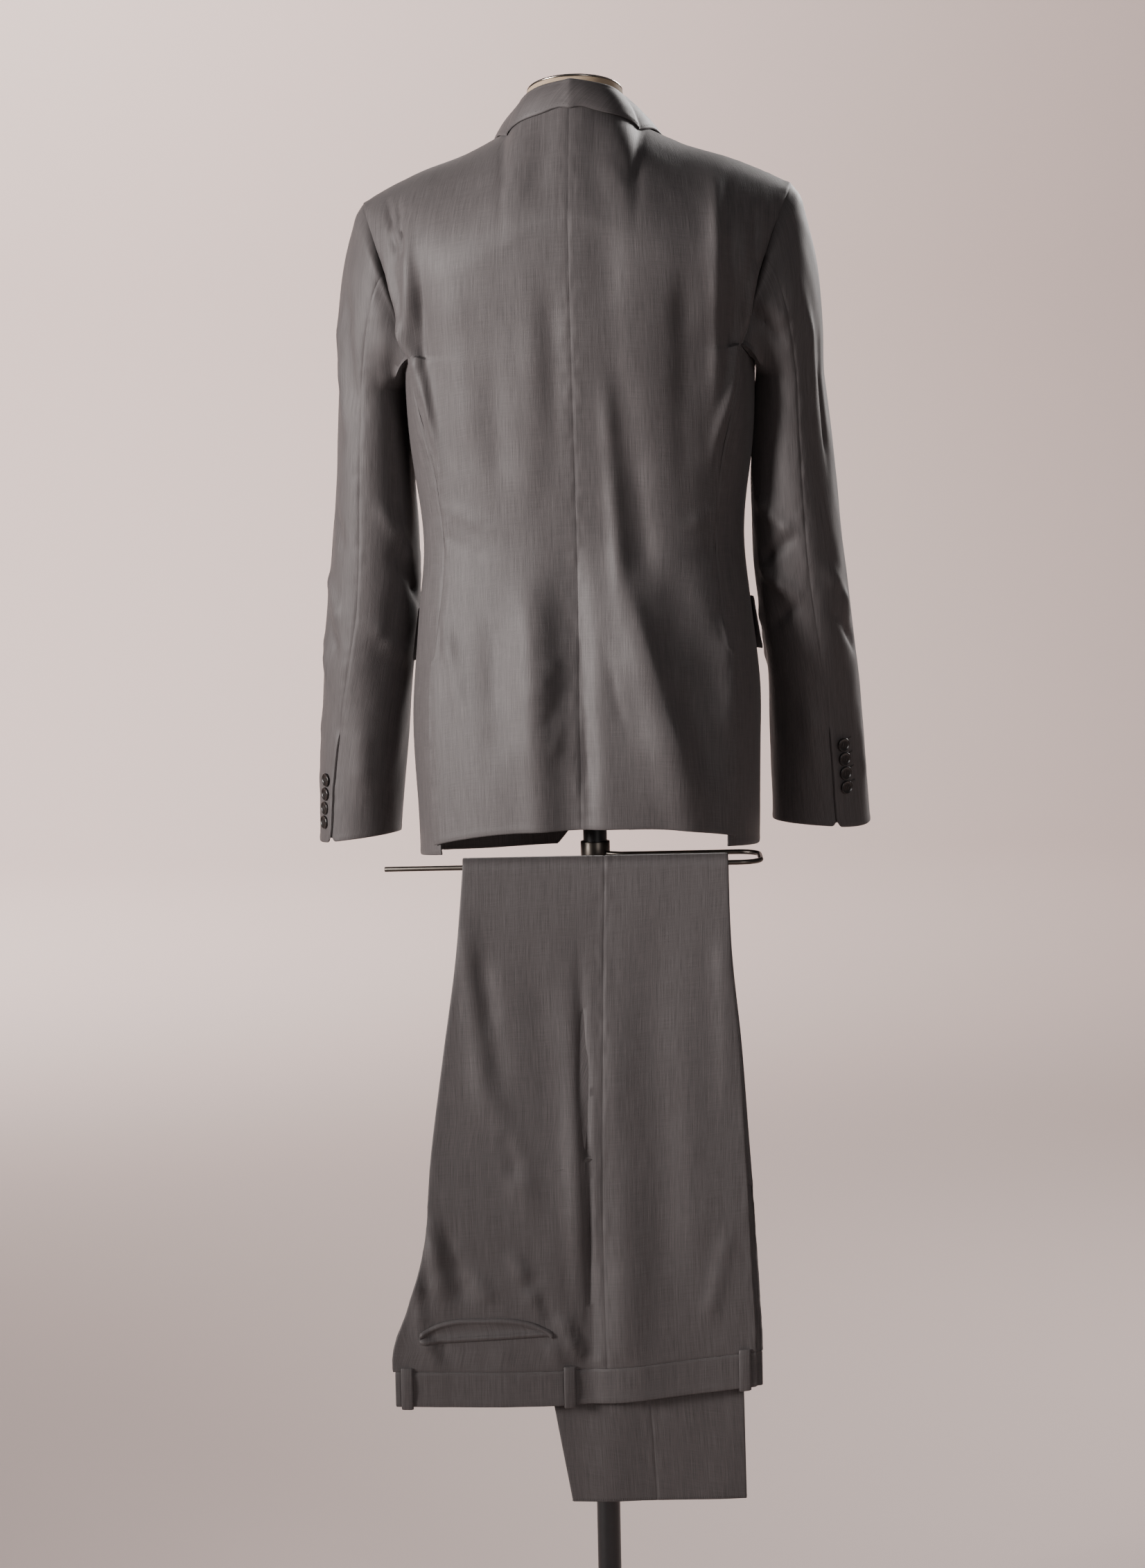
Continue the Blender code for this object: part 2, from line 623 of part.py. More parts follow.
def material(name):
    """The surface finish of a sub-part."""
    finish = FINISHES[name]
    made = bpy.data.materials.get(name) or bpy.data.materials.new(name)
    made.use_nodes = True
    shader = made.node_tree.nodes["Principled BSDF"]
    shader.inputs["Base Color"].default_value = (*finish.colour, 1)
    shader.inputs["Roughness"].default_value = finish.roughness
    shader.inputs["Metallic"].default_value = finish.metallic
    made.diffuse_color = (*finish.colour, 1)
    return made


def add(name, bm, finish):
    """Makes a named object from a closed body, with its faces pointing out."""
    bmesh.ops.recalc_face_normals(bm, faces=bm.faces)
    mesh = bpy.data.meshes.new(name)
    bm.to_mesh(mesh)
    bm.free()
    mesh.shade_smooth()
    mesh.set_sharp_from_angle(angle=math.radians(40))
    mesh.materials.append(material(finish))
    made = bpy.data.objects.new(name, mesh)
    bpy.context.scene.collection.objects.link(made)
    return made


def wall(name, surface, us, vs, finish="worsted", thickness=WALL, gaps=(SEAM, SEAM, SEAM, SEAM),
         first_normals=None):
    """A closed wall of cloth, half its thickness to each side of surface(u, v).

    The gaps draw in the edges at the first u, the last u, the first v and the last v.
    """
    bm = bmesh.new()
    faces = [[], []]
    for j, v in enumerate(vs):
        rows = [[], []]
        for i, u in enumerate(us):
            e = 1e-4
            u_in = u + (e if i == 0 else -e if i == len(us) - 1 else 0)
            v_in = v + (e if j == 0 else -e if j == len(vs) - 1 else 0)
            along_u, along_v, normal = slopes(surface, u_in, v_in)
            if first_normals and j == 0:
                normal = first_normals(u)
                normal = normal if normal.dot(slopes(surface, u_in, v_in)[2]) > 0 else -normal
            point = surface(u, v)
            point += along_u * (gaps[0] if i == 0 else -gaps[1] if i == len(us) - 1 else 0)
            point += along_v * (gaps[2] if j == 0 else -gaps[3] if j == len(vs) - 1 else 0)
            rows[0].append(bm.verts.new(point + normal * thickness / 2))
            rows[1].append(bm.verts.new(point - normal * thickness / 2))
        faces[0].append(rows[0])
        faces[1].append(rows[1])
    for grid in faces:
        for low, high in zip(grid, grid[1:]):
            for a, b, c, d in zip(low, low[1:], high[1:], high):
                bm.faces.new((a, b, c))
                bm.faces.new((a, c, d))
    rims = [
        (faces[0][0], faces[1][0]),
        (faces[0][-1], faces[1][-1]),
        ([row[0] for row in faces[0]], [row[0] for row in faces[1]]),
        ([row[-1] for row in faces[0]], [row[-1] for row in faces[1]]),
    ]
    for outer, inner in rims:
        for a, b, c, d in zip(outer, outer[1:], inner[1:], inner):
            bm.faces.new((a, b, c, d))
    return add(name, bm, finish)


def stack(name, rings, finish):
    """A closed body through level or tilted rings of points, with flat ends."""
    bm = bmesh.new()
    made = [[bm.verts.new(point) for point in ring] for ring in rings]
    for low, high in zip(made, made[1:]):
        for i in range(len(low)):
            j = (i + 1) % len(low)
            bm.faces.new((low[i], low[j], high[j], high[i]))
    bm.faces.new(made[0])
    bm.faces.new(made[-1])
    return add(name, bm, finish)


def turned(name, profile, sides, finish, place=Matrix.Identity(4)):
    """A solid of revolution about Z through (radius, height) pairs, then put in its place."""
    rings = []
    for radius, height in profile:
        angles = [2 * math.pi * i / sides for i in range(sides)]
        rings.append([place @ Vector((radius * math.cos(a), radius * math.sin(a), height))
                      for a in angles])
    return stack(name, rings, finish)


def hollow(name, profile, sides, finish):
    """A ring with a bore: a closed (radius, height) profile turned about Z."""
    bm = bmesh.new()
    rings = []
    for k in range(sides):
        angle = 2 * math.pi * k / sides
        way = Vector((math.cos(angle), math.sin(angle), 0))
        rings.append([bm.verts.new(way * radius + Vector((0, 0, z))) for radius, z in profile])
    count = len(profile)
    for k in range(sides):
        a, b = rings[k], rings[(k + 1) % sides]
        for j in range(count):
            bm.faces.new((a[j], b[j], b[(j + 1) % count], a[(j + 1) % count]))
    return add(name, bm, finish)


def facing(point, normal):
    """A frame at a point whose Z axis is the normal."""
    return Matrix.Translation(point) @ normal.to_track_quat("Z", "Y").to_matrix().to_4x4()


def side_name(side):
    return "right" if side > 0 else "left"


def jacket_body(side):
    """The back, side and front of one half."""
    name = side_name(side)
    rows = BODY_ROWS + [1 + w for w in ARM_ROWS[-2::-1]]
    wall("back_" + name, lambda u, v: back_point(side, u, v), BACK_COLUMNS, rows)
    wall("side_" + name, lambda u, v: side_point(side, u, v), SIDE_COLUMNS, BODY_ROWS)
    wall("front_" + name, lambda u, v: front_point(side, u, v), FRONT_COLUMNS, rows)


def sleeve(side):
    """The top sleeve over the shoulder and the under sleeve below the arm."""
    back, front = SLEEVE_SEAMS
    falls = [1 + (z - CAP_LEVEL) / (ARM_FALL[-1] - CAP_LEVEL) for z in ARM_FALL]
    rows = CAP_ROWS + falls
    pieces = {
        "top_sleeve_": range(front - RING, back + 1),
        "under_sleeve_": range(back, front + 1),
    }
    for piece, places in pieces.items():
        wall(piece + side_name(side), lambda i, k: sleeve_point(side, i, k), list(places), rows,
             gaps=(SEAM, SEAM, 0, 0), first_normals=lambda i: sleeve_start_normal(side, i))


def neck_spot(at, part):
    """A named line of the collar at a place round the neck, on the wearer's right half."""
    x = curve(NECK_LINE, at, part + "_x")
    y = curve(NECK_LINE, at, part + "_y")
    if part == "edge":
        return laid(x, y, LAP)
    return Vector((x, y, curve(NECK_LINE, at, part + "_z")))


def collar_point(u, v):
    """The collar: u round the neck from left (-1) to right (1), v from its edge to its seam."""
    fold, edge, seam = (neck_spot(abs(u), part) for part in ("fold", "edge", "seam"))
    out = Vector((edge.x - seam.x, edge.y - seam.y, 0)).normalized()
    if v <= 1:
        top = fold + out * COLLAR_TURN
        middle = (edge + top) / 2 + (out + Vector((0, 0, 1))) * COLLAR_BOW
        point = edge * (1 - v) ** 2 + middle * (2 * v * (1 - v)) + top * v**2
    elif v <= 2:
        angle = math.pi * (v - 1)
        rise = Vector((0, 0, COLLAR_TURN * math.sin(angle)))
        point = fold + out * (COLLAR_TURN * math.cos(angle)) + rise
    else:
        inner = fold - out * COLLAR_TURN
        point = inner + (seam - inner) * (v - 2)
    return hang((point.x if u >= 0 else -point.x, point.y, point.z))


def lapel_base(side, u, v):
    """The part of the front that the lapel lies on: u out from the roll line, v from the button up."""
    low = LAPEL_LOW[side]
    z = low + v * (LAPEL_TOP - GORGE_DROP * u - low)
    rise = (z - LAPEL_LOW[-1]) / (LAPEL_TOP - LAPEL_LOW[-1])
    x = front_edge(z) + 0.001 + u * (0.006 + LAPEL_WIDTH * smooth(rise * 1.25))
    return hang((side * x, tucked(side, x, depth_at(x, z, "front")), z))


def lapel_point(side, u, v):
    """The lapel, laid on the front."""
    return on_surface(lambda a, b: lapel_base(side, a, b), u, v, WALL + LAPEL_GAP + 0.001 * u)[0]


def collar_and_lapels():
    """The folded collar and the two notched lapels."""
    places = [row.at for row in NECK_LINE]
    middles = [(a + b) / 2 for a, b in zip(places, places[1:])]
    right = sorted(places[1:] + middles)
    wall("collar", collar_point, [-u for u in reversed(right)] + [0] + right,
         [0, 0.5, 1, 1.5, 2, 2.5, 3], gaps=(0, 0, 0, 0))
    for side in (-1, 1):
        wall("lapel_" + side_name(side), lambda u, v: lapel_point(side, u, v),
             [0, 0.25, 0.5, 0.75, 1], [0, 0.12, 0.25, 0.4, 0.55, 0.68, 0.8, 0.9, 1], gaps=(0, 0, 0, 0))


def flap_point(side, u, v):
    """The hip flap: u from its back end to its front end, v down its height."""
    angle = FLAP_START + FLAP_SPAN * u
    z = FLAP_TOP - FLAP_HEIGHT * v - FLAP_FALL * u
    x, y = oval(angle, z)
    lean = WALL + FLAP_OFF + FLAP_FLARE * v
    outward = Vector((x, y, 0)).normalized()
    return hang((side * (x + outward.x * lean), tucked(side, x, y + outward.y * lean), z))


def flaps():
    """The hip pockets' flaps."""
    for side in (-1, 1):
        wall("hip_flap_" + side_name(side), lambda u, v: flap_point(side, u, v),
             [0, 0.2, 0.4, 0.6, 0.8, 1], [0, 0.5, 1], gaps=(0, 0, 0, 0))


def button(name, point, normal, radius):
    """A four-hole button's solid: a dished disc with a rounded rim."""
    profile = [(0.60 * radius, 0), (0.90 * radius, 0.0006), (radius, 0.0014),
               (0.92 * radius, 0.0024), (0.62 * radius, 0.0020)]
    turned(name, profile, 14, "button_horn", facing(point, normal))


def buttons():
    """Two on the left front and four on each cuff."""
    for k in range(2):
        z = FRONT_BUTTON_TOP - k * BUTTON_PITCH
        point = hang((0.0, depth_at(0, z, "front"), z))
        out = Vector((0, 1, 0))
        place = point + out * (WALL / 2 + FRONT_BUTTON_STAND)
        button(f"front_button_{k + 1}", place, out, FRONT_BUTTON)
    for side in (-1, 1):
        for k in range(4):
            z = CUFF_BUTTON_TOP[side] - k * CUFF_BUTTON_PITCH
            spread = (CUFF_BUTTON_ANGLE[side] + CUFF_TWIST[side]) / RING_ANGLES[1].height * 4
            level = 1 + (z - CAP_LEVEL) / (ARM_FALL[-1] - CAP_LEVEL)
            centre = hang((arm_ring(side, 0, z) + arm_ring(side, RING // 2, z)) / 2)
            normal = slopes(lambda i, t: sleeve_point(side, i, t), spread, level)[2]
            point = sleeve_point(side, spread, level)
            normal = normal if normal.dot(point - centre) > 0 else -normal
            place = point + normal * (WALL / 2 + CUFF_BUTTON_STAND)
            button(f"cuff_button_{side_name(side)}_{k + 1}", place, normal, CUFF_BUTTON)


def trousers():
    """Two legs, each a back and a front panel flattened along its creases."""
    near = [-t for t in NEAR_ROWS]
    far = [1 + t for t in FAR_ROWS]
    for leg in ("left", "right"):
        for half in ("back", "front"):
            wall(f"trouser_{half}_{leg}", lambda w, t: leg_point(leg, half, w, t), PANEL_COLUMNS,
                 near + BAR_ROWS + far, thickness=TROUSER_WALL, gaps=(SEAM, 0, SEAM, SEAM))
        wall("waistband_" + leg, lambda u, v: band_point(leg, u, v),
             BAND_COLUMNS, [0, 1], thickness=WALL, gaps=(0, 0, SEAM, 0))


def loop_and_jet_solids():
    """Belt loops over the waistbands, and the jetting of the two back pockets."""
    for name, (leg, x) in LOOPS.items():
        way = -1 if leg == "left" else 1
        start = band_point(leg, 0.0, 0.0).x
        end = band_point(leg, 1.0, 0.0).x
        share = (x - start) / (end - start)
        half = LOOP_WIDTH / 2 / (end - start)

        def loop_point(u, v):
            bulge = LOOP_BULGE * math.sin(math.pi * min(1, max(0, v)))
            out = WALL / 2 + LOOP_STAND + bulge
            point = band_point(leg, share + half * u, -0.12 + 1.2 * v)
            return point + Vector((0, way * out, 0))

        wall(name, loop_point, [-1, 1], [0, 0.3, 0.7, 1], thickness=LOOP_WALL, gaps=(0, 0, 0, 0))
    for leg, way in (("left", -1), ("right", 1)):
        def jet_point(u, v):
            angle = 2 * math.pi * u
            x = JET_MIDDLE + JET_HALF_LENGTH * power(math.cos(angle), 0.45) * (1 - 0.06 * v)
            drop = JET_DROP + JET_HALF_HEIGHT * power(math.sin(angle), 0.45) * (1 - 0.75 * v)
            drop += 0.4 * JET_HALF_HEIGHT * math.cos(angle)
            layer = MIDDLE_LAYER + (LAYERS[leg + "_out"] - MIDDLE_LAYER) * 0.58
            push = fold_depth(TROUSER_FOLDS, x, drop)
            y = BAR_Y - ROD_RADIUS - BAR_GAP - layer - push + way * (TROUSER_WALL / 2 + JET_WALL)
            return Vector((x, y, BAR_Z - drop))

        places = [k / JET_POINTS + 0.001 for k in range(JET_POINTS)] + [0.999]
        wall("back_pocket_jets_" + leg, jet_point, places, [0, 1], thickness=JET_WALL,
             gaps=(0, 0, 0, 0))


def form():
    """The limbless form, with a tilted cap on its neck."""
    def ring(row):
        points = []
        for k in range(FORM_SIDES):
            angle = 2 * math.pi * (k + 0.5) / FORM_SIDES
            deep = row.back if math.cos(angle) > 0 else row.front
            x = row.half_width * power(math.sin(angle), 2 / 2.2)
            y = -deep * power(math.cos(angle), 2 / 2.2)
            rise = -math.tan(CAP_TILT * row.tilt) * y
            level = 1 - smooth((row.at - FORM_BOTTOM) / 0.04)
            points.append(hang((x, y, row.at + rise - SHOULDER_TILT * x * level)))
        return points

    stack("form_body", [ring(row) for row in FORM_SECTIONS], "form_cloth")
    top = FORM_SECTIONS[-1]
    centre_y = (top.front - top.back) / 2
    middle = hang((0, centre_y, top.at - math.tan(CAP_TILT) * centre_y))
    place = Matrix.Translation(middle) @ Matrix.Rotation(-CAP_TILT, 4, "X")
    cap = [(0.0460, 0.0005), (0.0475, 0.0013), (0.0475, 0.0030), (0.0460, 0.0045), (0.0360, 0.0065),
           (0.0180, 0.0080)]
    turned("neck_cap", cap, 32, "cap_metal", place)


def stand():
    """The base, pole, plate under the form, bar collar and its screw."""
    base = [(BASE_RADIUS - 0.003, 0), (BASE_RADIUS, 0.003), (BASE_RADIUS, BASE_HEIGHT - 0.006),
            (BASE_RADIUS - 0.005, BASE_HEIGHT - 0.001), (0.032, BASE_HEIGHT + 0.004),
            (0.018, BASE_HEIGHT + 0.016), (0.016, BASE_HEIGHT + 0.017)]
    turned("stand_base", base, 48, "black_satin")
    pole_low = BASE_HEIGHT + 0.017 + STAND_GAP
    pole_high = FORM_BOTTOM - FORM_PLATE - STAND_GAP
    turned("stand_pole", [(POLE_RADIUS, pole_low), (POLE_RADIUS, pole_high)], 24, "black_satin")
    plate_low = FORM_BOTTOM - FORM_PLATE
    turned("form_plate", [(0.045, plate_low), (0.047, plate_low + 0.002),
                          (0.047, FORM_BOTTOM - STAND_GAP)], 28, "black_satin")
    bore = POLE_RADIUS + STAND_GAP
    low, high, chamfer = BAR_COLLAR_LOW, BAR_COLLAR_HIGH, 0.0008
    profile = [(bore, low), (BAR_COLLAR_RADIUS - chamfer, low), (BAR_COLLAR_RADIUS, low + chamfer),
               (BAR_COLLAR_RADIUS, high - chamfer), (BAR_COLLAR_RADIUS - chamfer, high), (bore, high)]
    hollow("bar_collar", profile, 28, "gunmetal")
    place = Vector((0.0015, -BAR_COLLAR_RADIUS - STAND_GAP, BAR_COLLAR_LOW + 0.007))
    screw = facing(place, Vector((0, -1, 0)))
    turned("collar_screw", [(0.0030, 0), (0.0034, 0.0008), (0.0034, 0.0030), (0.0026, 0.0036)], 16,
           "screw_steel", screw)


def bar_path():
    """The hairpin's centre line: out of the collar, along, round its bend and back."""
    angle = math.radians(-38)
    start = Vector((math.cos(angle), math.sin(angle), 0))
    points = [start * (BAR_COLLAR_RADIUS + 0.0008), start * 0.0205, Vector((0.026, ARM_Y + 0.0006, 0)),
              Vector((0.036, ARM_Y, 0))]
    for centre_y, first in ((ARM_Y - BAR_CORNER, 0), (BAR_Y + BAR_CORNER, 90)):
        for k in range(6):
            turn = math.radians(first + 18 * k)
            points.append(Vector((BAR_RIGHT - BAR_CORNER + BAR_CORNER * math.sin(turn),
                                  centre_y + BAR_CORNER * math.cos(turn), 0)))
    points.append(Vector((BAR_LEFT, BAR_Y, 0)))
    return [point + Vector((0, 0, BAR_Z)) for point in points]


def trouser_bar():
    """The hairpin rod, a round tube of points swept along its centre line."""
    path = bar_path()
    rings = []
    for k, point in enumerate(path):
        before, after = path[max(k - 1, 0)], path[min(k + 1, len(path) - 1)]
        along = (after - before).normalized()
        across = along.cross(Vector((0, 0, 1))).normalized()
        rings.append([point + ROD_RADIUS * (across * math.cos(a) + Vector((0, 0, math.sin(a))))
                      for a in [2 * math.pi * n / 12 for n in range(12)]])
    stack("trouser_bar", rings, "gunmetal")


def main():
    for old in list(bpy.data.objects):
        bpy.data.objects.remove(old)
    for side in (-1, 1):
        jacket_body(side)
        sleeve(side)
    collar_and_lapels()
    flaps()
    buttons()
    trousers()
    loop_and_jet_solids()
    form()
    stand()
    trouser_bar()


main()
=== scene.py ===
"""A two-piece suit on a limbless dress form, with its trousers folded over a bar of the stand.

Metres, +Z up, +X towards the wearer's right, +Y towards the jacket's front. The jacket is seen from behind.
"""

import logging
import math
from dataclasses import dataclass, field
from enum import Enum
from typing import Callable, NamedTuple, Optional, Sequence

import bpy
import numpy as np
from mathutils import Matrix, Vector


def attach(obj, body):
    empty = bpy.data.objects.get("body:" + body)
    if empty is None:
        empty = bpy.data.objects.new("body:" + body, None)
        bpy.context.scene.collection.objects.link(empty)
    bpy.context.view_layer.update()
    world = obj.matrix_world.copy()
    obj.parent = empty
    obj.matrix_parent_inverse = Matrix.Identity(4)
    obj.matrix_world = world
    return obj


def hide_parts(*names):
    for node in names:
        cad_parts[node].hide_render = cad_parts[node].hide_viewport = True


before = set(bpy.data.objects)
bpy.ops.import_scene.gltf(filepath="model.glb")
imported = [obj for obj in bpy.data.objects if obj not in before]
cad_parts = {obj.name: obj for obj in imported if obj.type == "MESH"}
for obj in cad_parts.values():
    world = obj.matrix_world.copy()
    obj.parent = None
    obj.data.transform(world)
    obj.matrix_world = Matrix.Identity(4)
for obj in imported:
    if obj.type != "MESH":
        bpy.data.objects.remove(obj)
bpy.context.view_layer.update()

Array = np.ndarray
Surface = Callable[[Array, Array], Array]
log = logging.getLogger("suit")


class Hand(Enum):
    """The wearer's two sides, by the sign of X."""

    LEFT = -1
    RIGHT = 1

    @property
    def word(self) -> str:
        """The side's name as the nodes spell it."""
        return self.name.lower()


class Edge(Enum):
    """How an edge of a cut piece is finished."""

    SEAM = "sewn to its neighbour"
    FREE = "turned in and pressed"
    RAW = "cut and overcast"


class Table:
    """A short table that is read along a smooth curve through its rows."""

    def __init__(self, columns: str, rows: Sequence[Sequence[float]]) -> None:
        """Keeps the rows in order of their first column.

        Args:
            columns: Names of the columns, the first being the place along the table.
            rows: One sequence of numbers for each row.
        """
        values = np.array(rows, float)
        self.columns = columns.split()
        self.values = values[np.argsort(values[:, 0])]

    def read(self, place: Array, column: str) -> Array:
        """Reads a column at places along the table.

        Args:
            place: Places along the first column.
            column: Name of the column to read.

        Returns:
            The column's values at those places.
        """
        at = self.values[:, 0]
        value = self.values[:, self.columns.index(column)]
        place = np.asarray(place, float)
        last = len(at) - 1
        rows = np.arange(len(at))
        low, high = np.maximum(rows - 1, 0), np.minimum(rows + 1, last)
        slope = (value[high] - value[low]) / (at[high] - at[low])
        i = np.clip(np.searchsorted(at, place, side="right") - 1, 0, last - 1)
        step = at[i + 1] - at[i]
        t = np.clip((place - at[i]) / step, 0, 1)
        start = value[i] * (2 * t**3 - 3 * t**2 + 1) + slope[i] * step * (t**3 - 2 * t**2 + t)
        return start + value[i + 1] * (3 * t**2 - 2 * t**3) + slope[i + 1] * step * (t**3 - t**2)


class Fold(NamedTuple):
    """A long soft fold that hangs between two places of the back or side view."""

    x_top: float
    z_top: float
    x_low: float
    z_low: float
    width: float
    depth: float
    fade_low: int = 1


class Crease(NamedTuple):
    """A ridge (depth over 0) or trough between two places, softer on one side than the other."""

    a0: float
    b0: float
    a1: float
    b1: float
    width: float
    depth: float
    skew: float = 1.0
    bow: float = 0.0


def smooth(x: Array) -> Array:
    """An S-shaped step from 0 to 1."""
    x = np.clip(x, 0, 1)
    return x * x * (3 - 2 * x)


def bell(x: Array, width: float) -> Array:
    """A bell-shaped bump of height 1 about 0."""
    return np.exp(-((x / width) ** 2))


def power(x: Array, exponent: float) -> Array:
    """A power that keeps its base's sign."""
    return np.copysign(np.abs(x) ** exponent, x)


def unit(vectors: Array) -> Array:
    """Vectors of length 1 along the given ones."""
    return vectors / np.maximum(np.linalg.norm(vectors, axis=-1, keepdims=True), 1e-12)


def normal_of(surface: Surface, u: Array, v: Array, e: float) -> Array:
    """Normals of a surface, from its places a step e to both sides."""
    return unit(np.cross(surface(u + e, v) - surface(u - e, v), surface(u, v + e) - surface(u, v - e)))


def aimed(way: Sequence[float], axis: str = "Z") -> Matrix:
    """A turn that points an axis along a way."""
    return Vector(way).to_track_quat(axis, "Y").to_matrix().to_4x4()


def creased(*rows: Sequence[float]) -> tuple[Crease, ...]:
    """Creases from their rows of numbers."""
    return tuple(Crease(*row) for row in rows)


def fold_depth(folds: Sequence[Fold], x: Array, z: Array, fade: float = 0.3) -> Array:
    """How far long folds push the cloth out.

    Args:
        folds: The folds.
        x: Places across.
        z: Places down or up.
        fade: Share of a fold's length over which it starts and ends.

    Returns:
        The push at each place, in metres.
    """
    total = np.zeros(np.broadcast(x, z).shape)
    for f in folds:
        t = (z - f.z_top) / (f.z_low - f.z_top)
        middle = f.x_top + (f.x_low - f.x_top) * t
        ends = smooth(t / fade) * (smooth((1 - t) / fade) if f.fade_low else (t < 1))
        total = total + f.depth * ends * (t > 0) * bell(x - middle, f.width)
    return total


def crease_depth(creases: Sequence[Crease], a: Array, b: Array, seed: int = 7) -> Array:
    """How far the listed creases push the cloth out.

    Args:
        creases: The creases.
        a: First coordinate of each place, in metres.
        b: Second coordinate of each place, in metres.
        seed: Makes the unevenness of each crease its own.

    Returns:
        The push at each place, in metres.
    """
    total = np.zeros(np.broadcast(a, b).shape)
    for n, c in enumerate(creases):
        da, db = c.a1 - c.a0, c.b1 - c.b0
        length = math.hypot(da, db)
        t = ((a - c.a0) * da + (b - c.b0) * db) / length**2
        off = ((a - c.a0) * db - (b - c.b0) * da) / length
        off = off - c.bow * 4 * t * (1 - t)
        wobble = 1 + 0.25 * np.sin(9 * t + 1.7 * (n + seed)) + 0.15 * np.sin(23 * t + 2.3 * n)
        width = c.width * np.where(off > 0, c.skew, 1.0)
        ends = smooth(np.clip(t / 0.35, 0, 1)) * smooth(np.clip((1 - t) / 0.35, 0, 1))
        total = total + c.depth * wobble * ends * bell(off, width)
    return total


def ripple(points: Array, wavelength: float, seed: int, tall: float = 2.5) -> Array:
    """Soft unevenness of about unit height.

    Args:
        points: Places in space.
        wavelength: Typical distance between two swells.
        seed: Fixes the pattern.
        tall: How much longer the swells are up and down than across.

    Returns:
        A value for each place.
    """
    rng = np.random.default_rng(seed)
    ways = unit(rng.normal(size=(10, 3)))
    rate = 2 * math.pi / wavelength * rng.uniform(0.6, 1.5, 10)
    phase = rng.uniform(0, 2 * math.pi, 10)
    scaled = points * np.array([1, 1, 1 / tall])
    return sum(np.cos(scaled @ w * r + p) for w, r, p in zip(ways, rate, phase)) / math.sqrt(5)


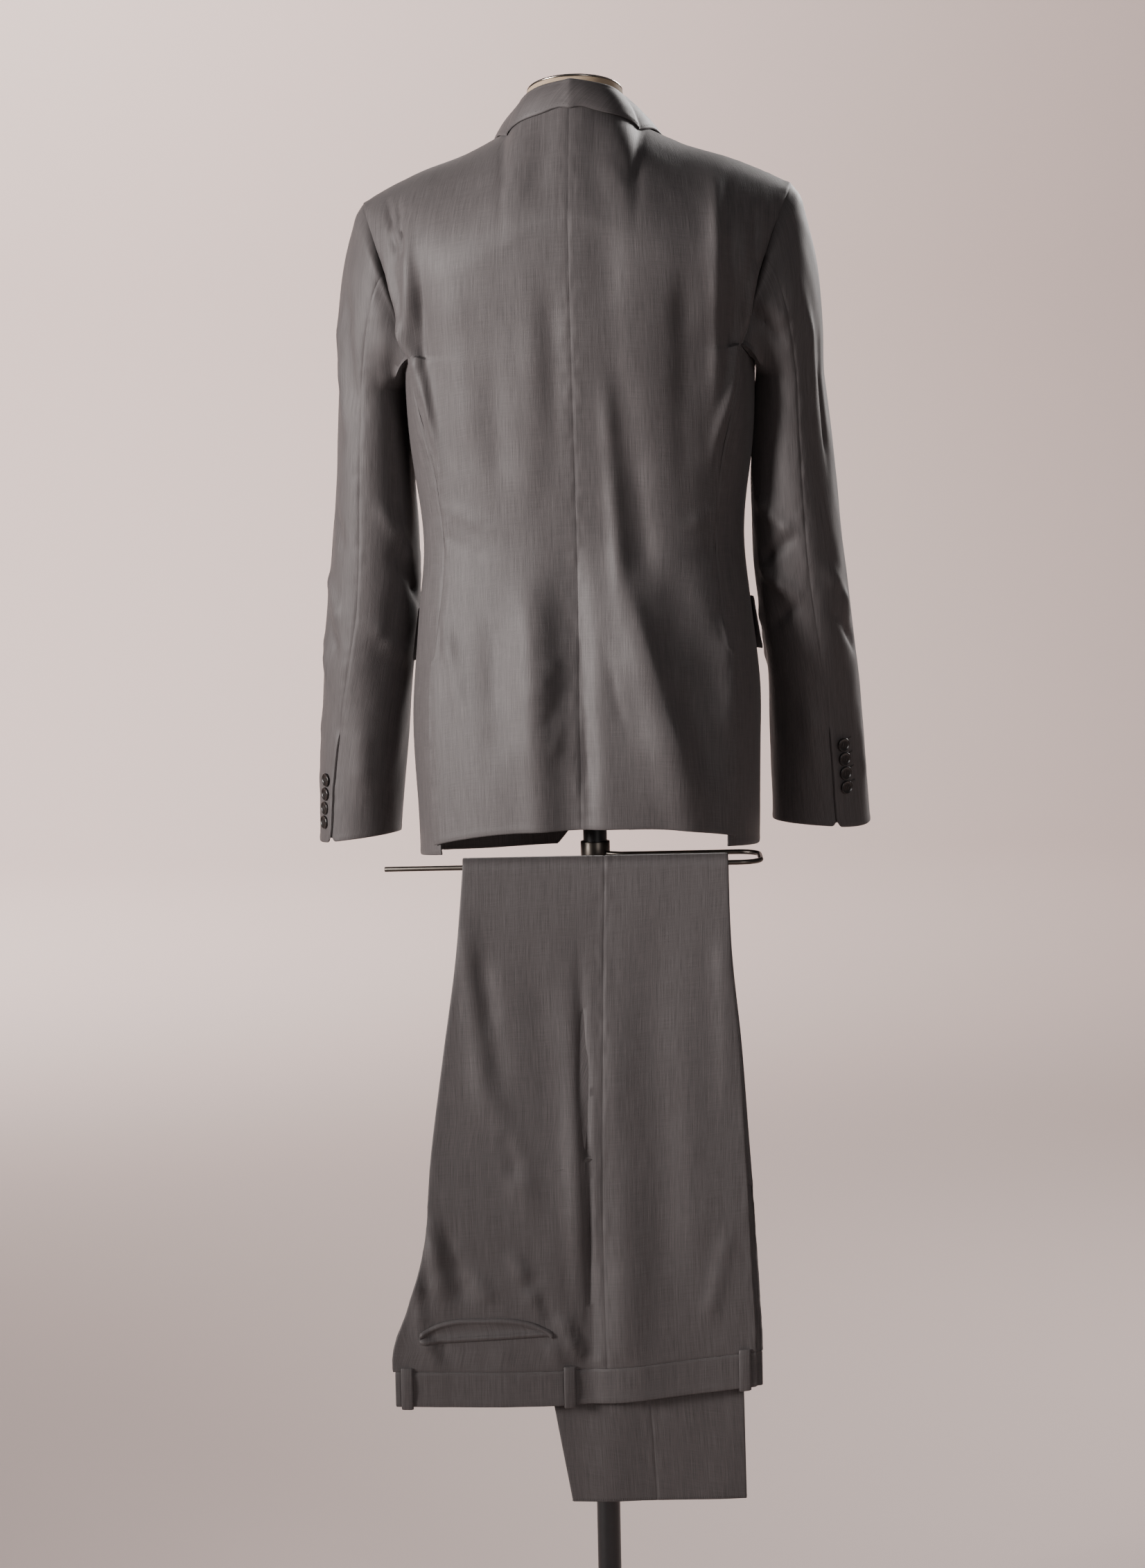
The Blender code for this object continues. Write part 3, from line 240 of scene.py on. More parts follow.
@dataclass(frozen=True)
class JacketCut:
    """Sizes of the jacket's cut and the smooth surfaces of its pieces."""

    yaw: float = math.radians(-4.0)
    shoulder_tilt: float = 0.0206
    shift: float = -0.005
    oval: float = 2.4
    arm_level: float = 1.360
    underarm_dip: float = 0.015
    tip_x: float = 0.213
    neck_x: float = 0.064
    neck_depth: float = 0.065
    neck_back_z: float = 1.6110
    neck_side_z: float = 1.5803
    close_run: float = 0.120
    crown: float = 1.9
    neck_crown: float = 1.2
    side_back_low: float = 54.0
    side_back_top: float = 62.0
    side_front: float = 116.0
    drape: float = 0.0055
    drape_angle: float = 62.0
    drape_z: float = 1.32
    vent_top: float = 1.105
    vent_lift: float = 0.0036
    vent_lap: float = 2.5
    button_z: float = 1.135
    front_overlap: float = 0.020
    cutaway: float = 0.062
    cutaway_top: float = 1.02
    front_lift: float = 0.012
    lap: float = 0.0028
    wall: float = 0.0020
    lapel_top: float = 1.490
    gorge_drop: float = 0.030
    lapel_width: float = 0.074
    lapel_gap: float = 0.0012
    collar_turn: float = 0.0026
    collar_bow: float = 0.0035
    cap_level: float = 1.330
    cuff_level: float = 0.872
    twist_from: float = 1.12
    cuff_tilt: float = 0.006

    @property
    def lapel_low(self) -> dict[Hand, float]:
        """Height at which each lapel starts."""
        return {Hand.LEFT: 1.145, Hand.RIGHT: 1.245}

    @property
    def cuff_twist(self) -> dict[Hand, float]:
        """How far each sleeve turns above its cuff, in degrees."""
        return {Hand.LEFT: 25.0, Hand.RIGHT: 7.0}

    @property
    def sections(self) -> Table:
        """Half width and depths of the body at heights."""
        return Table("at half_width back front", [
            (0.840, 0.1690, 0.127, 0.119), (0.900, 0.1715, 0.129, 0.119), (0.960, 0.1735, 0.129, 0.118),
            (1.020, 0.1735, 0.125, 0.116), (1.100, 0.1665, 0.112, 0.114), (1.170, 0.1600, 0.102, 0.114),
            (1.250, 0.1660, 0.109, 0.119), (1.320, 0.1690, 0.120, 0.124), (1.360, 0.1740, 0.126, 0.125),
            (1.425, 0.1960, 0.133, 0.122), (1.475, 0.2160, 0.134, 0.117), (1.520, 0.2330, 0.131, 0.113),
            (1.600, 0.2450, 0.126, 0.110)])

    @property
    def shoulder(self) -> Table:
        """Height of the shoulder line over distances from the centre."""
        return Table("at height", [(0.064, 1.5803), (0.108, 1.5590), (0.150, 1.5450), (0.185, 1.5300),
                                   (0.214, 1.5150)])

    @property
    def hems(self) -> dict[str, Table]:
        """Heights of the hem round the body, by panel."""
        return {
            "back": Table("at height", [(0, 0.894), (20, 0.892), (40, 0.885), (58, 0.876)]),
            "side": Table("at height", [(50, 0.869), (90, 0.861), (120, 0.855)]),
            "front": Table("at height", [(116, 0.8555), (150, 0.851), (190, 0.851)]),
        }

    @property
    def folds(self) -> list[Fold]:
        """The back's largest folds, which the solid has too."""
        return [
            Fold(-0.012, 1.20, -0.006, 0.84, 0.020, -0.0060, 0),
            Fold(-0.046, 1.16, -0.040, 0.84, 0.017, 0.0040, 0),
            Fold(0.036, 1.20, 0.118, 0.86, 0.024, 0.0070, 0), Fold(0.086, 1.16, 0.140, 0.98, 0.018, -0.0035),
            Fold(-0.168, 1.50, -0.150, 1.24, 0.010, 0.0045), Fold(-0.146, 1.52, -0.138, 1.22, 0.012, -0.0030),
            Fold(0.142, 1.56, 0.136, 1.26, 0.011, 0.0040), Fold(0.166, 1.52, 0.152, 1.26, 0.010, -0.0030),
        ]

    @property
    def arms(self) -> Table:
        """The sleeve's reach across and its depth at heights."""
        return Table("at outer inner_left inner_right middle depth", [
            (1.380, 0.2390, 0.1790, 0.1790, 0.008, 0.064), (1.330, 0.2425, 0.1750, 0.1750, 0.016, 0.066),
            (1.270, 0.2480, 0.1725, 0.1720, 0.020, 0.064), (1.150, 0.2600, 0.1705, 0.1690, 0.028, 0.060),
            (1.060, 0.2685, 0.1790, 0.1790, 0.037, 0.056), (0.985, 0.2740, 0.1860, 0.1840, 0.048, 0.053),
            (0.910, 0.2790, 0.1950, 0.1840, 0.056, 0.049), (0.860, 0.2830, 0.2010, 0.1840, 0.060, 0.047)])

    @property
    def ring_angles(self) -> Table:
        """Angle of each of the sixteen places round a sleeve."""
        return Table("at height", [(0, 0), (4, 78), (8, 180), (12, 258), (16, 360)])

    @property
    def arm_rows(self) -> Table:
        """Heights up the armhole of the places round the sleeve, counted from the shoulder tip."""
        return Table("at height", [(0, 1), (1, 0.95), (2, 0.84), (3, 0.68), (4, 0.5), (5, 0.25), (6, 0)])

    @property
    def neck_line(self) -> Table:
        """The collar's fold, its edge on the body and its seam, round the neck."""
        return Table("at fold_x fold_y fold_z edge_x edge_y seam_x seam_y seam_z", [
            (0.00, 0.0000, -0.0690, 1.6225, 0.0000, -0.0780, 0.0000, -0.0650, 1.6125),
            (0.27, 0.0330, -0.0560, 1.6155, 0.0430, -0.0660, 0.0300, -0.0565, 1.6062),
            (0.52, 0.0485, -0.0330, 1.6060, 0.0680, -0.0320, 0.0510, -0.0365, 1.5936),
            (0.70, 0.0570, 0.0020, 1.5950, 0.0800, 0.0100, 0.0585, 0.0020, 1.5835),
            (0.86, 0.0565, 0.0605, 1.5675, 0.0930, 0.0520, 0.0525, 0.0530, 1.5580),
            (1.00, 0.0500, 0.0985, 1.5310, 0.1050, 0.0870, 0.0460, 0.0890, 1.5220)])

    def hang(self, x: Array, y: Array, z: Array) -> Array:
        """Carries places from the jacket's own frame to the form.

        Args:
            x: Distances across.
            y: Distances back (under 0) and to the front.
            z: Heights.

        Returns:
            The points in the part's frame.
        """
        c, s = math.cos(self.yaw), math.sin(self.yaw)
        x, y, z = np.broadcast_arrays(x, y, z)
        return np.stack([c * x - s * y + self.shift, s * x + c * y, z + self.shoulder_tilt * x], -1)

    def shoulder_height(self, x: Array) -> Array:
        """Height of the neckline and the shoulder seam over a distance from the centre.

        Args:
            x: Distances across.

        Returns:
            The heights.
        """
        x = np.abs(x)
        neck = self.neck_side_z + (self.neck_back_z - self.neck_side_z) * (1 - (x / self.neck_x) ** 2)
        return np.where(x < self.neck_x, neck, self.shoulder.read(x, "height"))

    def outline(self, angle: Array, z: Array) -> tuple[Array, Array]:
        """The body's outline at a height, from the centre back (0 degrees) to the centre front (180).

        Args:
            angle: Angles round the body, in degrees.
            z: Heights.

        Returns:
            The places' x and y, on the wearer's right half.
        """
        turn = np.radians(angle)
        half = self.sections.read(z, "half_width")
        depth = np.where(np.cos(turn) > 0, self.sections.read(z, "back"), self.sections.read(z, "front"))
        x = half * power(np.sin(turn), 2 / self.oval)
        spread = -(((angle - self.drape_angle) / 15) ** 2) - ((z - self.drape_z) / 0.07) ** 2
        return x + self.drape * np.exp(spread), -depth * power(np.cos(turn), 2 / self.oval)

    def depth_at(self, x: Array, z: Array, side: str) -> Array:
        """The depth of the body's surface over a place of the back or front view.

        Args:
            x: Distance across, on the wearer's right half.
            z: Height.
            side: "back" or "front".

        Returns:
            The surface's y.
        """
        half = self.sections.read(z, "half_width")
        oval = np.maximum(0, 1 - (np.abs(x) / half) ** self.oval) ** (1 / self.oval)
        full = self.sections.read(z, side) * oval
        top = self.shoulder_height(x)
        rise = np.clip((z - (top - self.close_run)) / self.close_run, 0, 1)
        if side == "back":
            near = 1 - smooth((np.abs(x) - 0.3 * self.neck_x) / (0.9 * self.neck_x))
            ridge = self.neck_depth * np.sqrt(np.maximum(0, 1 - (x / self.neck_x) ** 2))
        else:
            near, ridge = np.zeros_like(rise), np.zeros_like(rise)
        crown = self.crown + (self.neck_crown - self.crown) * near
        value = ridge + (full - ridge) * np.maximum(0, 1 - rise**crown) ** (1 / crown)
        return -value if side == "back" else value

    def height_over(self, x: Array, y: Array) -> Array:
        """Height of the body's surface over a place of the top view, near the neck.

        Args:
            x: Distances across.
            y: Distances back (under 0) and to the front.

        Returns:
            The heights.
        """
        shoulder = self.shoulder_height(np.maximum(np.abs(x), self.neck_x))
        high = np.where(y > 0, shoulder, self.shoulder_height(x))
        low = high - self.close_run
        for _ in range(30):
            middle = (low + high) / 2
            depth = np.where(y < 0, -self.depth_at(x, middle, "back"), self.depth_at(x, middle, "front"))
            under = depth > np.abs(y)
            low, high = np.where(under, middle, low), np.where(under, high, middle)
        return (low + high) / 2

    def laid(self, x: Array, y: Array, out: float) -> Array:
        """Places laid on the body near the neck, this far out from its surface.

        Args:
            x: Distances across.
            y: Distances back (under 0) and to the front.
            out: Distance out from the surface.

        Returns:
            The points.
        """
        e = 1e-4
        across = self.height_over(x - e, y) - self.height_over(x + e, y)
        along = self.height_over(x, y - e) - self.height_over(x, y + e)
        normal = unit(np.stack([across, along, np.full_like(across, 2 * e)], -1))
        return np.stack([x, y, self.height_over(x, y)], -1) + normal * out

    def side_back(self, z: Array) -> Array:
        """Angle of the side-back seam at a height."""
        rise = smooth((z - 1.24) / (self.arm_level - 1.24))
        return self.side_back_low + (self.side_back_top - self.side_back_low) * rise

    def arm_edge(self, w: Array, side: str) -> Array:
        """Distance from the centre of the armhole's edge, from the underarm level up.

        Args:
            w: Share of the way up the armhole.
            side: "back" or "front".

        Returns:
            The distances.
        """
        angle = self.side_back_top if side == "back" else self.side_front
        start = self.outline(np.array(angle), np.array(self.arm_level))[0]
        hollow = 0.012 * np.sin(np.pi * w) if side == "front" else 0.0
        return start + (self.tip_x - start) * w - hollow

    def back(self, hand: Hand, u: Array, v: Array) -> Array:
        """The back: u from the centre seam to the side, v from the hem (0) to the shoulder (2).

        Args:
            hand: The wearer's side.
            u: First parameter of the surface.
            v: Second parameter of the surface.

        Returns:
            The points.
        """
        low = np.minimum(v, 1)
        z1 = self.arm_level * low + (1 - low) * self.hems["back"].read(u * self.side_back_low, "height")
        lift = self.vent_lift * smooth((self.vent_top - z1) / 0.05)
        lap = self.vent_lap * smooth((lift - 0.9 * self.vent_lift) / (0.1 * self.vent_lift))
        angle = u * (self.side_back(z1) + lap)
        x1, y1 = self.outline(angle, z1)
        out = lift * smooth((angle - self.side_back(z1) + 14) / 14)
        x1, y1 = x1 + out * 0.75, y1 - out * 0.65
        edge = self.arm_edge(v - 1, "back")
        share = power(np.sin(np.radians(u * self.side_back_top)) / math.sin(math.radians(self.side_back_top)),
                      2 / self.oval)
        x2 = share * edge
        z2 = self.arm_level + (v - 1) * (self.shoulder_height(x2) - self.arm_level)
        y2 = self.depth_at(x2, z2, "back")
        x, y, z = (np.where(v <= 1, a, b) for a, b in ((x1, x2), (y1, y2), (z1, z2)))
        keep = smooth((2 - v) / 0.25)
        return self.hang(hand.value * x, y - keep * fold_depth(self.folds, hand.value * x, z), z)

    def side(self, hand: Hand, u: Array, v: Array) -> Array:
        """The side panel: u from its back seam to its front seam, v from the hem to the armhole.

        Args:
            hand: The wearer's side.
            u: First parameter of the surface.
            v: Second parameter of the surface.

        Returns:
            The points.
        """
        top = self.arm_level - self.underarm_dip * 4 * u * (1 - u)
        angle = self.side_back_low + u * (self.side_front - self.side_back_low)
        low = self.hems["side"].read(angle, "height")
        z = low + (top - low) * v
        start = self.side_back(z)
        x, y = self.outline(start + u * (self.side_front - start), z)
        return self.hang(hand.value * x, y - (1 - u) ** 2 * fold_depth(self.folds, hand.value * x, z), z)

    def front_edge(self, z: Array) -> Array:
        """Distance from the centre of the front's edge: cut away, straight, then the lapel's roll.

        Args:
            z: Heights.

        Returns:
            The distances.
        """
        share = np.maximum(0, self.cutaway_top - z) / (self.cutaway_top - 0.851)
        rise = np.maximum(0, (z - self.button_z) / (self.neck_side_z - self.button_z))
        return -self.front_overlap + self.cutaway * share**2.4 + (self.neck_x + self.front_overlap) * rise

    def tucked(self, hand: Hand, x: Array, y: Array) -> Array:
        """The right front lies under the left one where they overlap."""
        return y - (self.lap * smooth((0.050 - x) / 0.022) if hand is Hand.RIGHT else 0.0)

    def front(self, hand: Hand, u: Array, v: Array) -> Array:
        """The front: u from its side seam and armhole to its edge, v from the hem to the shoulder.

        Args:
            hand: The wearer's side.
            u: First parameter of the surface.
            v: Second parameter of the surface.

        Returns:
            The points.
        """
        angle = self.side_front + u * (180 - self.side_front)
        low = self.hems["front"].read(angle, "height")
        low = low + (self.front_lift * smooth(3 * u) if hand is Hand.RIGHT else 0.0)
        z1 = low + (self.arm_level - low) * np.minimum(v, 1)

        def last_angle(z: Array) -> Array:
            """Angle of the front's edge at a height."""
            share = self.front_edge(z) / self.sections.read(z, "half_width")
            return 180 - np.degrees(np.arcsin(power(share, self.oval / 2)))

        x1, y1 = self.outline(self.side_front + u * (last_angle(z1) - self.side_front), z1)
        w = v - 1
        level = np.array(self.arm_level)
        first, last = self.outline(np.array(self.side_front), level)[0], self.front_edge(level)
        over = self.outline(self.side_front + u * (last_angle(level) - self.side_front), level)[0]
        share = (first - over) / (first - last)
        outer = self.arm_edge(w, "front")
        x2 = outer + share * (last + (self.neck_x - last) * w - outer)
        top = self.shoulder_height(np.maximum(x2, self.neck_x))
        z2 = self.arm_level + w * (top - self.arm_level)
        y2 = self.depth_at(x2, z2, "front")
        x, y, z = (np.where(v <= 1, a, b) for a, b in ((x1, x2), (y1, y2), (z1, z2)))
        return self.hang(hand.value * x, self.tucked(hand, x, y), z)

    def armhole(self, hand: Hand, i: Array) -> tuple[Array, Array, Array]:
        """The body's edge round an armhole.

        Args:
            hand: The wearer's side.
            i: Places of the ring, 0 to 16 from the shoulder tip round the back and under the arm.

        Returns:
            The points, the ways out of the panels and the normals.
        """
        i = np.mod(i, 16)
        behind, under = i <= 6, (i > 6) & (i < 10)
        v = 1 + self.arm_rows.read(np.where(behind, i, 16 - i), "height")
        v = np.where(under, 1.0, v)
        u = np.where(behind, 1.0, np.where(under, (i - 6) / 4, 0.0))

        def at(a: Array, b: Array) -> Array:
            """The panel that carries each place."""
            parts = (self.back(hand, a, b), self.side(hand, a, np.minimum(b, 1)), self.front(hand, a, b))
            return np.where(behind[..., None], parts[0], np.where(under[..., None], parts[1], parts[2]))

        e = 1e-4
        inner = np.minimum(v, np.where(under, 1 - e, 2 - 2 * e))
        along_u = unit(at(u + e, inner) - at(u - e, inner))
        along_v = unit(at(u, inner + e) - at(u, inner - e))
        normal = unit(np.cross(along_u, along_v))
        out = np.where(behind[..., None], along_u, np.where(under[..., None], along_v, -along_u))
        out = unit(out - normal * np.sum(out * normal, -1, keepdims=True))
        square = unit(out - along_v * np.sum(out * along_v, -1, keepdims=True))
        return at(u, v), np.where(under[..., None], out, square), normal

    def arm_ring(self, hand: Hand, i: Array, z: Array) -> Array:
        """Points of the sleeve's level ring at a height, in the jacket's own frame.

        Args:
            hand: The wearer's side.
            i: Places round the ring of sixteen.
            z: Heights.

        Returns:
            The points.
        """
        inner = self.arms.read(z, "inner_" + hand.word)
        outer = self.arms.read(z, "outer")
        turns = np.floor(i / 16)
        angle = self.ring_angles.read(i - 16 * turns, "height") + 360 * turns
        angle = np.radians(angle - self.cuff_twist[hand] * smooth((self.twist_from - z) / 0.2))
        across = (outer + inner) / 2 + (outer - inner) / 2 * np.cos(angle)
        deep = self.arms.read(z, "middle") - self.arms.read(z, "depth") * np.sin(angle)
        return np.stack([hand.value * across, deep, z + 0 * across], -1)

    def sleeve(self, hand: Hand, i: Array, k: Array) -> Array:
        """The sleeve: i round its ring, k from the armhole (0) over the cap (1) to the cuff (2).

        Args:
            hand: The wearer's side.
            i: Places round the ring of sixteen.
            k: From the armhole (0) over the cap (1) to the cuff (2).

        Returns:
            The points.
        """
        fall = np.maximum(k, 1) - 1
        z = self.cap_level + (self.cuff_level - self.cap_level) * fall
        ring = self.arm_ring(hand, i, z)
        tilt = self.cuff_tilt * smooth(fall) * np.cos(2 * np.pi * i / 16)
        lower = self.hang(ring[..., 0], ring[..., 1], ring[..., 2] - tilt)
        edge, out, _ = self.armhole(hand, i)
        ring = self.arm_ring(hand, i, np.full_like(i, self.cap_level))
        low = self.hang(ring[..., 0], ring[..., 1], ring[..., 2])
        top = ((1 + np.cos(2 * np.pi * i / 16)) / 2)[..., None]
        under = np.sin(np.radians(90 * (1 - top) ** 1.5))
        start = edge + out * (0.0002 + under * self.wall / 2)
        pull = start + (low - start) * (0.02 + 0.30 * top)
        across = hand.value * (0.006 + 0.016 * top)
        deep = -0.012 * np.sin(2 * np.pi * i / 16)[..., None]
        pull = pull + np.concatenate([across, deep, 0.004 * (1 - top)], -1)
        c = np.clip(k, 0, 1)[..., None]
        upper = start * (1 - c) ** 2 + pull * (2 * c * (1 - c)) + low * c**2
        return np.where((k > 1)[..., None], lower, upper)

    def neck_spot(self, at: Array, part: str) -> Array:
        """A named line of the collar round the neck, on the wearer's right half.

        Args:
            at: Places round the neck, 0 to 1.
            part: Name of the line.

        Returns:
            The points.
        """
        x, y = self.neck_line.read(at, part + "_x"), self.neck_line.read(at, part + "_y")
        if part == "edge":
            return self.laid(x, y, self.lap - 0.0006)
        return np.stack([x, y, self.neck_line.read(at, part + "_z")], -1)

    def collar(self, u: Array, v: Array) -> Array:
        """The collar: u round the neck from left (-1) to right (1), v from its edge to its seam.

        Args:
            u: First parameter of the surface.
            v: Second parameter of the surface.

        Returns:
            The points.
        """
        fold, edge, seam = (self.neck_spot(np.abs(u), part) for part in ("fold", "edge", "seam"))
        flat = edge - seam
        flat[..., 2] = 0
        out, up = unit(flat), np.array([0.0, 0.0, 1.0])
        low, turn, high = (np.clip(v - n, 0, 1)[..., None] for n in (0, 1, 2))
        top = fold + out * self.collar_turn
        middle = (edge + top) / 2 + (out + up) * self.collar_bow
        fall = edge * (1 - low) ** 2 + middle * (2 * low * (1 - low)) + top * low**2
        roll = fold + out * self.collar_turn * np.cos(np.pi * turn)
        roll = roll + up * self.collar_turn * np.sin(np.pi * turn)
        inner = fold - out * self.collar_turn
        band = inner + (seam - inner) * high
        point = np.where((v <= 1)[..., None], fall, np.where((v <= 2)[..., None], roll, band))
        return self.hang(np.where(u >= 0, 1, -1) * point[..., 0], point[..., 1], point[..., 2])

    def lapel(self, hand: Hand, u: Array, v: Array) -> Array:
        """The lapel on the front: u out from the roll line, v from the button up.

        Args:
            hand: The wearer's side.
            u: First parameter of the surface.
            v: Second parameter of the surface.

        Returns:
            The points.
        """

        def base(a: Array, b: Array) -> Array:
            """The part of the front that the lapel lies on.

            Args:
                a: First parameter.
                b: Second parameter.

            Returns:
                The points.
            """
            low = self.lapel_low[hand]
            z = low + b * (self.lapel_top - self.gorge_drop * a - low)
            start = self.lapel_low[Hand.LEFT]
            rise = (z - start) / (self.lapel_top - start)
            x = self.front_edge(z) + 0.001 + a * (0.006 + self.lapel_width * smooth(rise * 1.25))
            return self.hang(hand.value * x, self.tucked(hand, x, self.depth_at(x, z, "front")), z)

        normal = normal_of(base, u, v, 1e-4)
        normal = normal * np.sign(normal[..., 1:2])
        roll = 0.0022 * (1 - u) ** 2 * smooth(v / 0.3)
        return base(u, v) + normal * (self.wall + self.lapel_gap + 0.001 * u - 0.0006 + roll)[..., None]

    def flap(self, hand: Hand, u: Array, v: Array) -> Array:
        """The hip flap: u from its back end to its front end, v down its height.

        Args:
            hand: The wearer's side.
            u: First parameter of the surface.
            v: Second parameter of the surface.

        Returns:
            The points.
        """
        z = 1.108 - 0.052 * v - 0.004 * u
        x, y = self.outline(92 + 44 * u, z)
        lean = self.wall + 0.0008 + 0.0025 * v
        out = unit(np.stack([x, y], -1))
        y = self.tucked(hand, x, y + out[..., 1] * lean)
        return self.hang(hand.value * (x + out[..., 0] * lean), y, z)


def add_node(tree: bpy.types.NodeTree, kind: str, inputs: Optional[dict] = None,
             **settings: str) -> bpy.types.Node:
    """Adds a node to a tree.

    Args:
        tree: The tree.
        kind: The node's type.
        inputs: A value, or the socket to link, for each named or numbered input.
        settings: The node's own settings.

    Returns:
        The node.
    """
    node = tree.nodes.new(kind)
    for name, value in settings.items():
        setattr(node, name, value)
    fill(tree, node, inputs or {})
    return node


def fill(tree: bpy.types.NodeTree, node: bpy.types.Node, inputs: dict) -> None:
    """Sets or links the inputs of a node.

    Args:
        tree: The node's tree.
        node: The node.
        inputs: A value, or the socket to link, for each named or numbered input.
    """
    for key, value in inputs.items():
        if isinstance(value, bpy.types.NodeSocket):
            tree.links.new(value, node.inputs[key])
        else:
            node.inputs[key].default_value = value


@dataclass(frozen=True)
class Surfacing:
    """What all finishes share: a name, and a material that is made once."""

    name: str

    def make(self) -> bpy.types.Material:
        """The material of this name, made at the first call.

        Returns:
            The material.
        """
        made = bpy.data.materials.get(self.name + "_finish")
        if made is None:
            made = bpy.data.materials.new(self.name + "_finish")
            made.use_nodes = True
            self.draw(made.node_tree, made.node_tree.nodes["Principled BSDF"])
        return made

    def draw(self, tree: bpy.types.NodeTree, shader: bpy.types.Node) -> None:
        """Sets the look in a new material's tree."""
        raise NotImplementedError

    def tinted(self, tree: bpy.types.NodeTree, shader: bpy.types.Node, share: bpy.types.NodeSocket,
               first: Sequence[float], second: Sequence[float]) -> None:
        """Colours the shader between two colours.

        Args:
            tree: The material's tree.
            shader: Its shader.
            share: How much of the second colour each place takes.
            first: The first colour.
            second: The second colour.
        """
        tint = add_node(tree, "ShaderNodeMix", {6: (*first, 1), 7: (*second, 1), 0: share}, data_type="RGBA")
        fill(tree, shader, {"Base Color": tint.outputs[2]})

    def bumped(self, tree: bpy.types.NodeTree, shader: bpy.types.Node, height: bpy.types.NodeSocket,
               distance: float) -> None:
        """Roughens the shader's surface by a height, this far at most."""
        bump = add_node(tree, "ShaderNodeBump", {"Distance": distance, "Height": height})
        fill(tree, shader, {"Normal": bump.outputs["Normal"]})


@dataclass(frozen=True)
class Finish(Surfacing):
    """A plain finish: one colour with a little grain, on Object coordinates."""

    colour: tuple[float, float, float]
    roughness: float
    metallic: float = 0.0
    grain: float = 0.06
    grain_size: float = 400.0
    bump: float = 0.0
    coat: float = 0.0
    wear: float = 0.12

    def draw(self, tree: bpy.types.NodeTree, shader: bpy.types.Node) -> None:
        """Sets the look in a new material's tree.

        Args:
            tree: The material's tree.
            shader: Its shader.
        """
        fill(tree, shader, {"Metallic": self.metallic, "Coat Weight": self.coat})
        place = add_node(tree, "ShaderNodeTexCoord").outputs["Object"]
        grain = add_node(tree, "ShaderNodeTexNoise", {"Scale": self.grain_size, "Detail": 3, "Vector": place})
        factor = grain.outputs["Fac"]
        self.tinted(tree, shader, factor, [c * (1 - self.grain) for c in self.colour],
                    [min(1, c * (1 + self.grain)) for c in self.colour])
        rough = add_node(tree, "ShaderNodeMapRange", {"To Min": self.roughness * (1 - self.wear),
                                                      "To Max": min(1, self.roughness * (1 + self.wear)),
                                                      "Value": factor})
        fill(tree, shader, {"Roughness": rough.outputs["Result"]})
        if self.bump:
            self.bumped(tree, shader, factor, self.bump)


@dataclass(frozen=True)
class WovenFinish(Surfacing):
    """A woven cloth, with warp streaks and a fainter weft that follow the piece's own UV map."""

    dark: tuple[float, float, float]
    light: tuple[float, float, float]
    roughness: float = 0.60
    sheen: float = 0.15
    warp: tuple[float, float] = (2000.0, 36.0)
    weft: tuple[float, float] = (40.0, 1900.0)
    specular: float = 0.36
    bump: float = 0.00020
    broad: tuple[float, float] = (640.0, 9.0)
    weft_share: float = 0.45
    broad_share: float = 0.45
    darkest: float = 0.64
    lightest: float = 1.26
    sheen_roughness: float = 0.35

    def streaks(self, tree: bpy.types.NodeTree, scale: tuple[float, float]) -> bpy.types.NodeSocket:
        """Noise that is drawn out along one way of the cloth.

        Args:
            tree: The material's tree.
            scale: Repeats a metre across and along the piece.

        Returns:
            The noise's factor.
        """
        place = add_node(tree, "ShaderNodeUVMap", uv_map="cut").outputs["UV"]
        mapping = add_node(tree, "ShaderNodeMapping", {"Scale": (*scale, 1), "Vector": place})
        noise = {"Scale": 1.0, "Detail": 2, "Vector": mapping.outputs["Vector"]}
        return add_node(tree, "ShaderNodeTexNoise", noise).outputs["Fac"]

    def added(self, tree: bpy.types.NodeTree, base: bpy.types.NodeSocket, more: bpy.types.NodeSocket,
              share: float) -> bpy.types.NodeSocket:
        """The sum of a factor and a share of another one."""
        terms = {0: more, 1: share, 2: base}
        return add_node(tree, "ShaderNodeMath", terms, operation="MULTIPLY_ADD").outputs[0]

    def draw(self, tree: bpy.types.NodeTree, shader: bpy.types.Node) -> None:
        """Sets the look in a new material's tree.

        Args:
            tree: The material's tree.
            shader: Its shader.
        """
        fill(tree, shader, {"Roughness": self.roughness, "Specular IOR Level": self.specular,
                            "Sheen Weight": self.sheen, "Sheen Roughness": self.sheen_roughness})
        warp, weft, broad = (self.streaks(tree, scale) for scale in (self.warp, self.weft, self.broad))
        mixed = self.added(tree, warp, weft, self.weft_share)
        whole = self.added(tree, mixed, broad, self.broad_share)
        spread = {"From Min": self.darkest, "From Max": self.lightest, "Value": whole}
        share = add_node(tree, "ShaderNodeMapRange", spread).outputs["Result"]
        self.tinted(tree, shader, share, self.dark, self.light)
        self.bumped(tree, shader, mixed, self.bump)


WORSTED = WovenFinish("worsted", (0.039, 0.0345, 0.0348), (0.086, 0.0770, 0.0774))
LINING = WovenFinish("lining", (0.014, 0.012, 0.012), (0.026, 0.023, 0.022), 0.38, 0.1, specular=0.5)
FORM_CLOTH = WovenFinish("form_cloth", (0.28, 0.205, 0.135), (0.40, 0.31, 0.22), 0.85, 0.15,
                         (1100, 300), (300, 1100))
HORN = Finish("button_horn", (0.012, 0.009, 0.008), 0.30, grain=0.5, grain_size=260, coat=0.2)
THREAD = Finish("thread", (0.045, 0.040, 0.038), 0.75)
CAP_METAL = Finish("cap_metal", (0.30, 0.275, 0.25), 0.22, 1.0, grain=0.1, grain_size=60)
GUNMETAL = Finish("gunmetal", (0.095, 0.084, 0.074), 0.36, 1.0, grain=0.12, grain_size=120)
STEEL = Finish("screw_steel", (0.60, 0.59, 0.57), 0.25, 1.0)
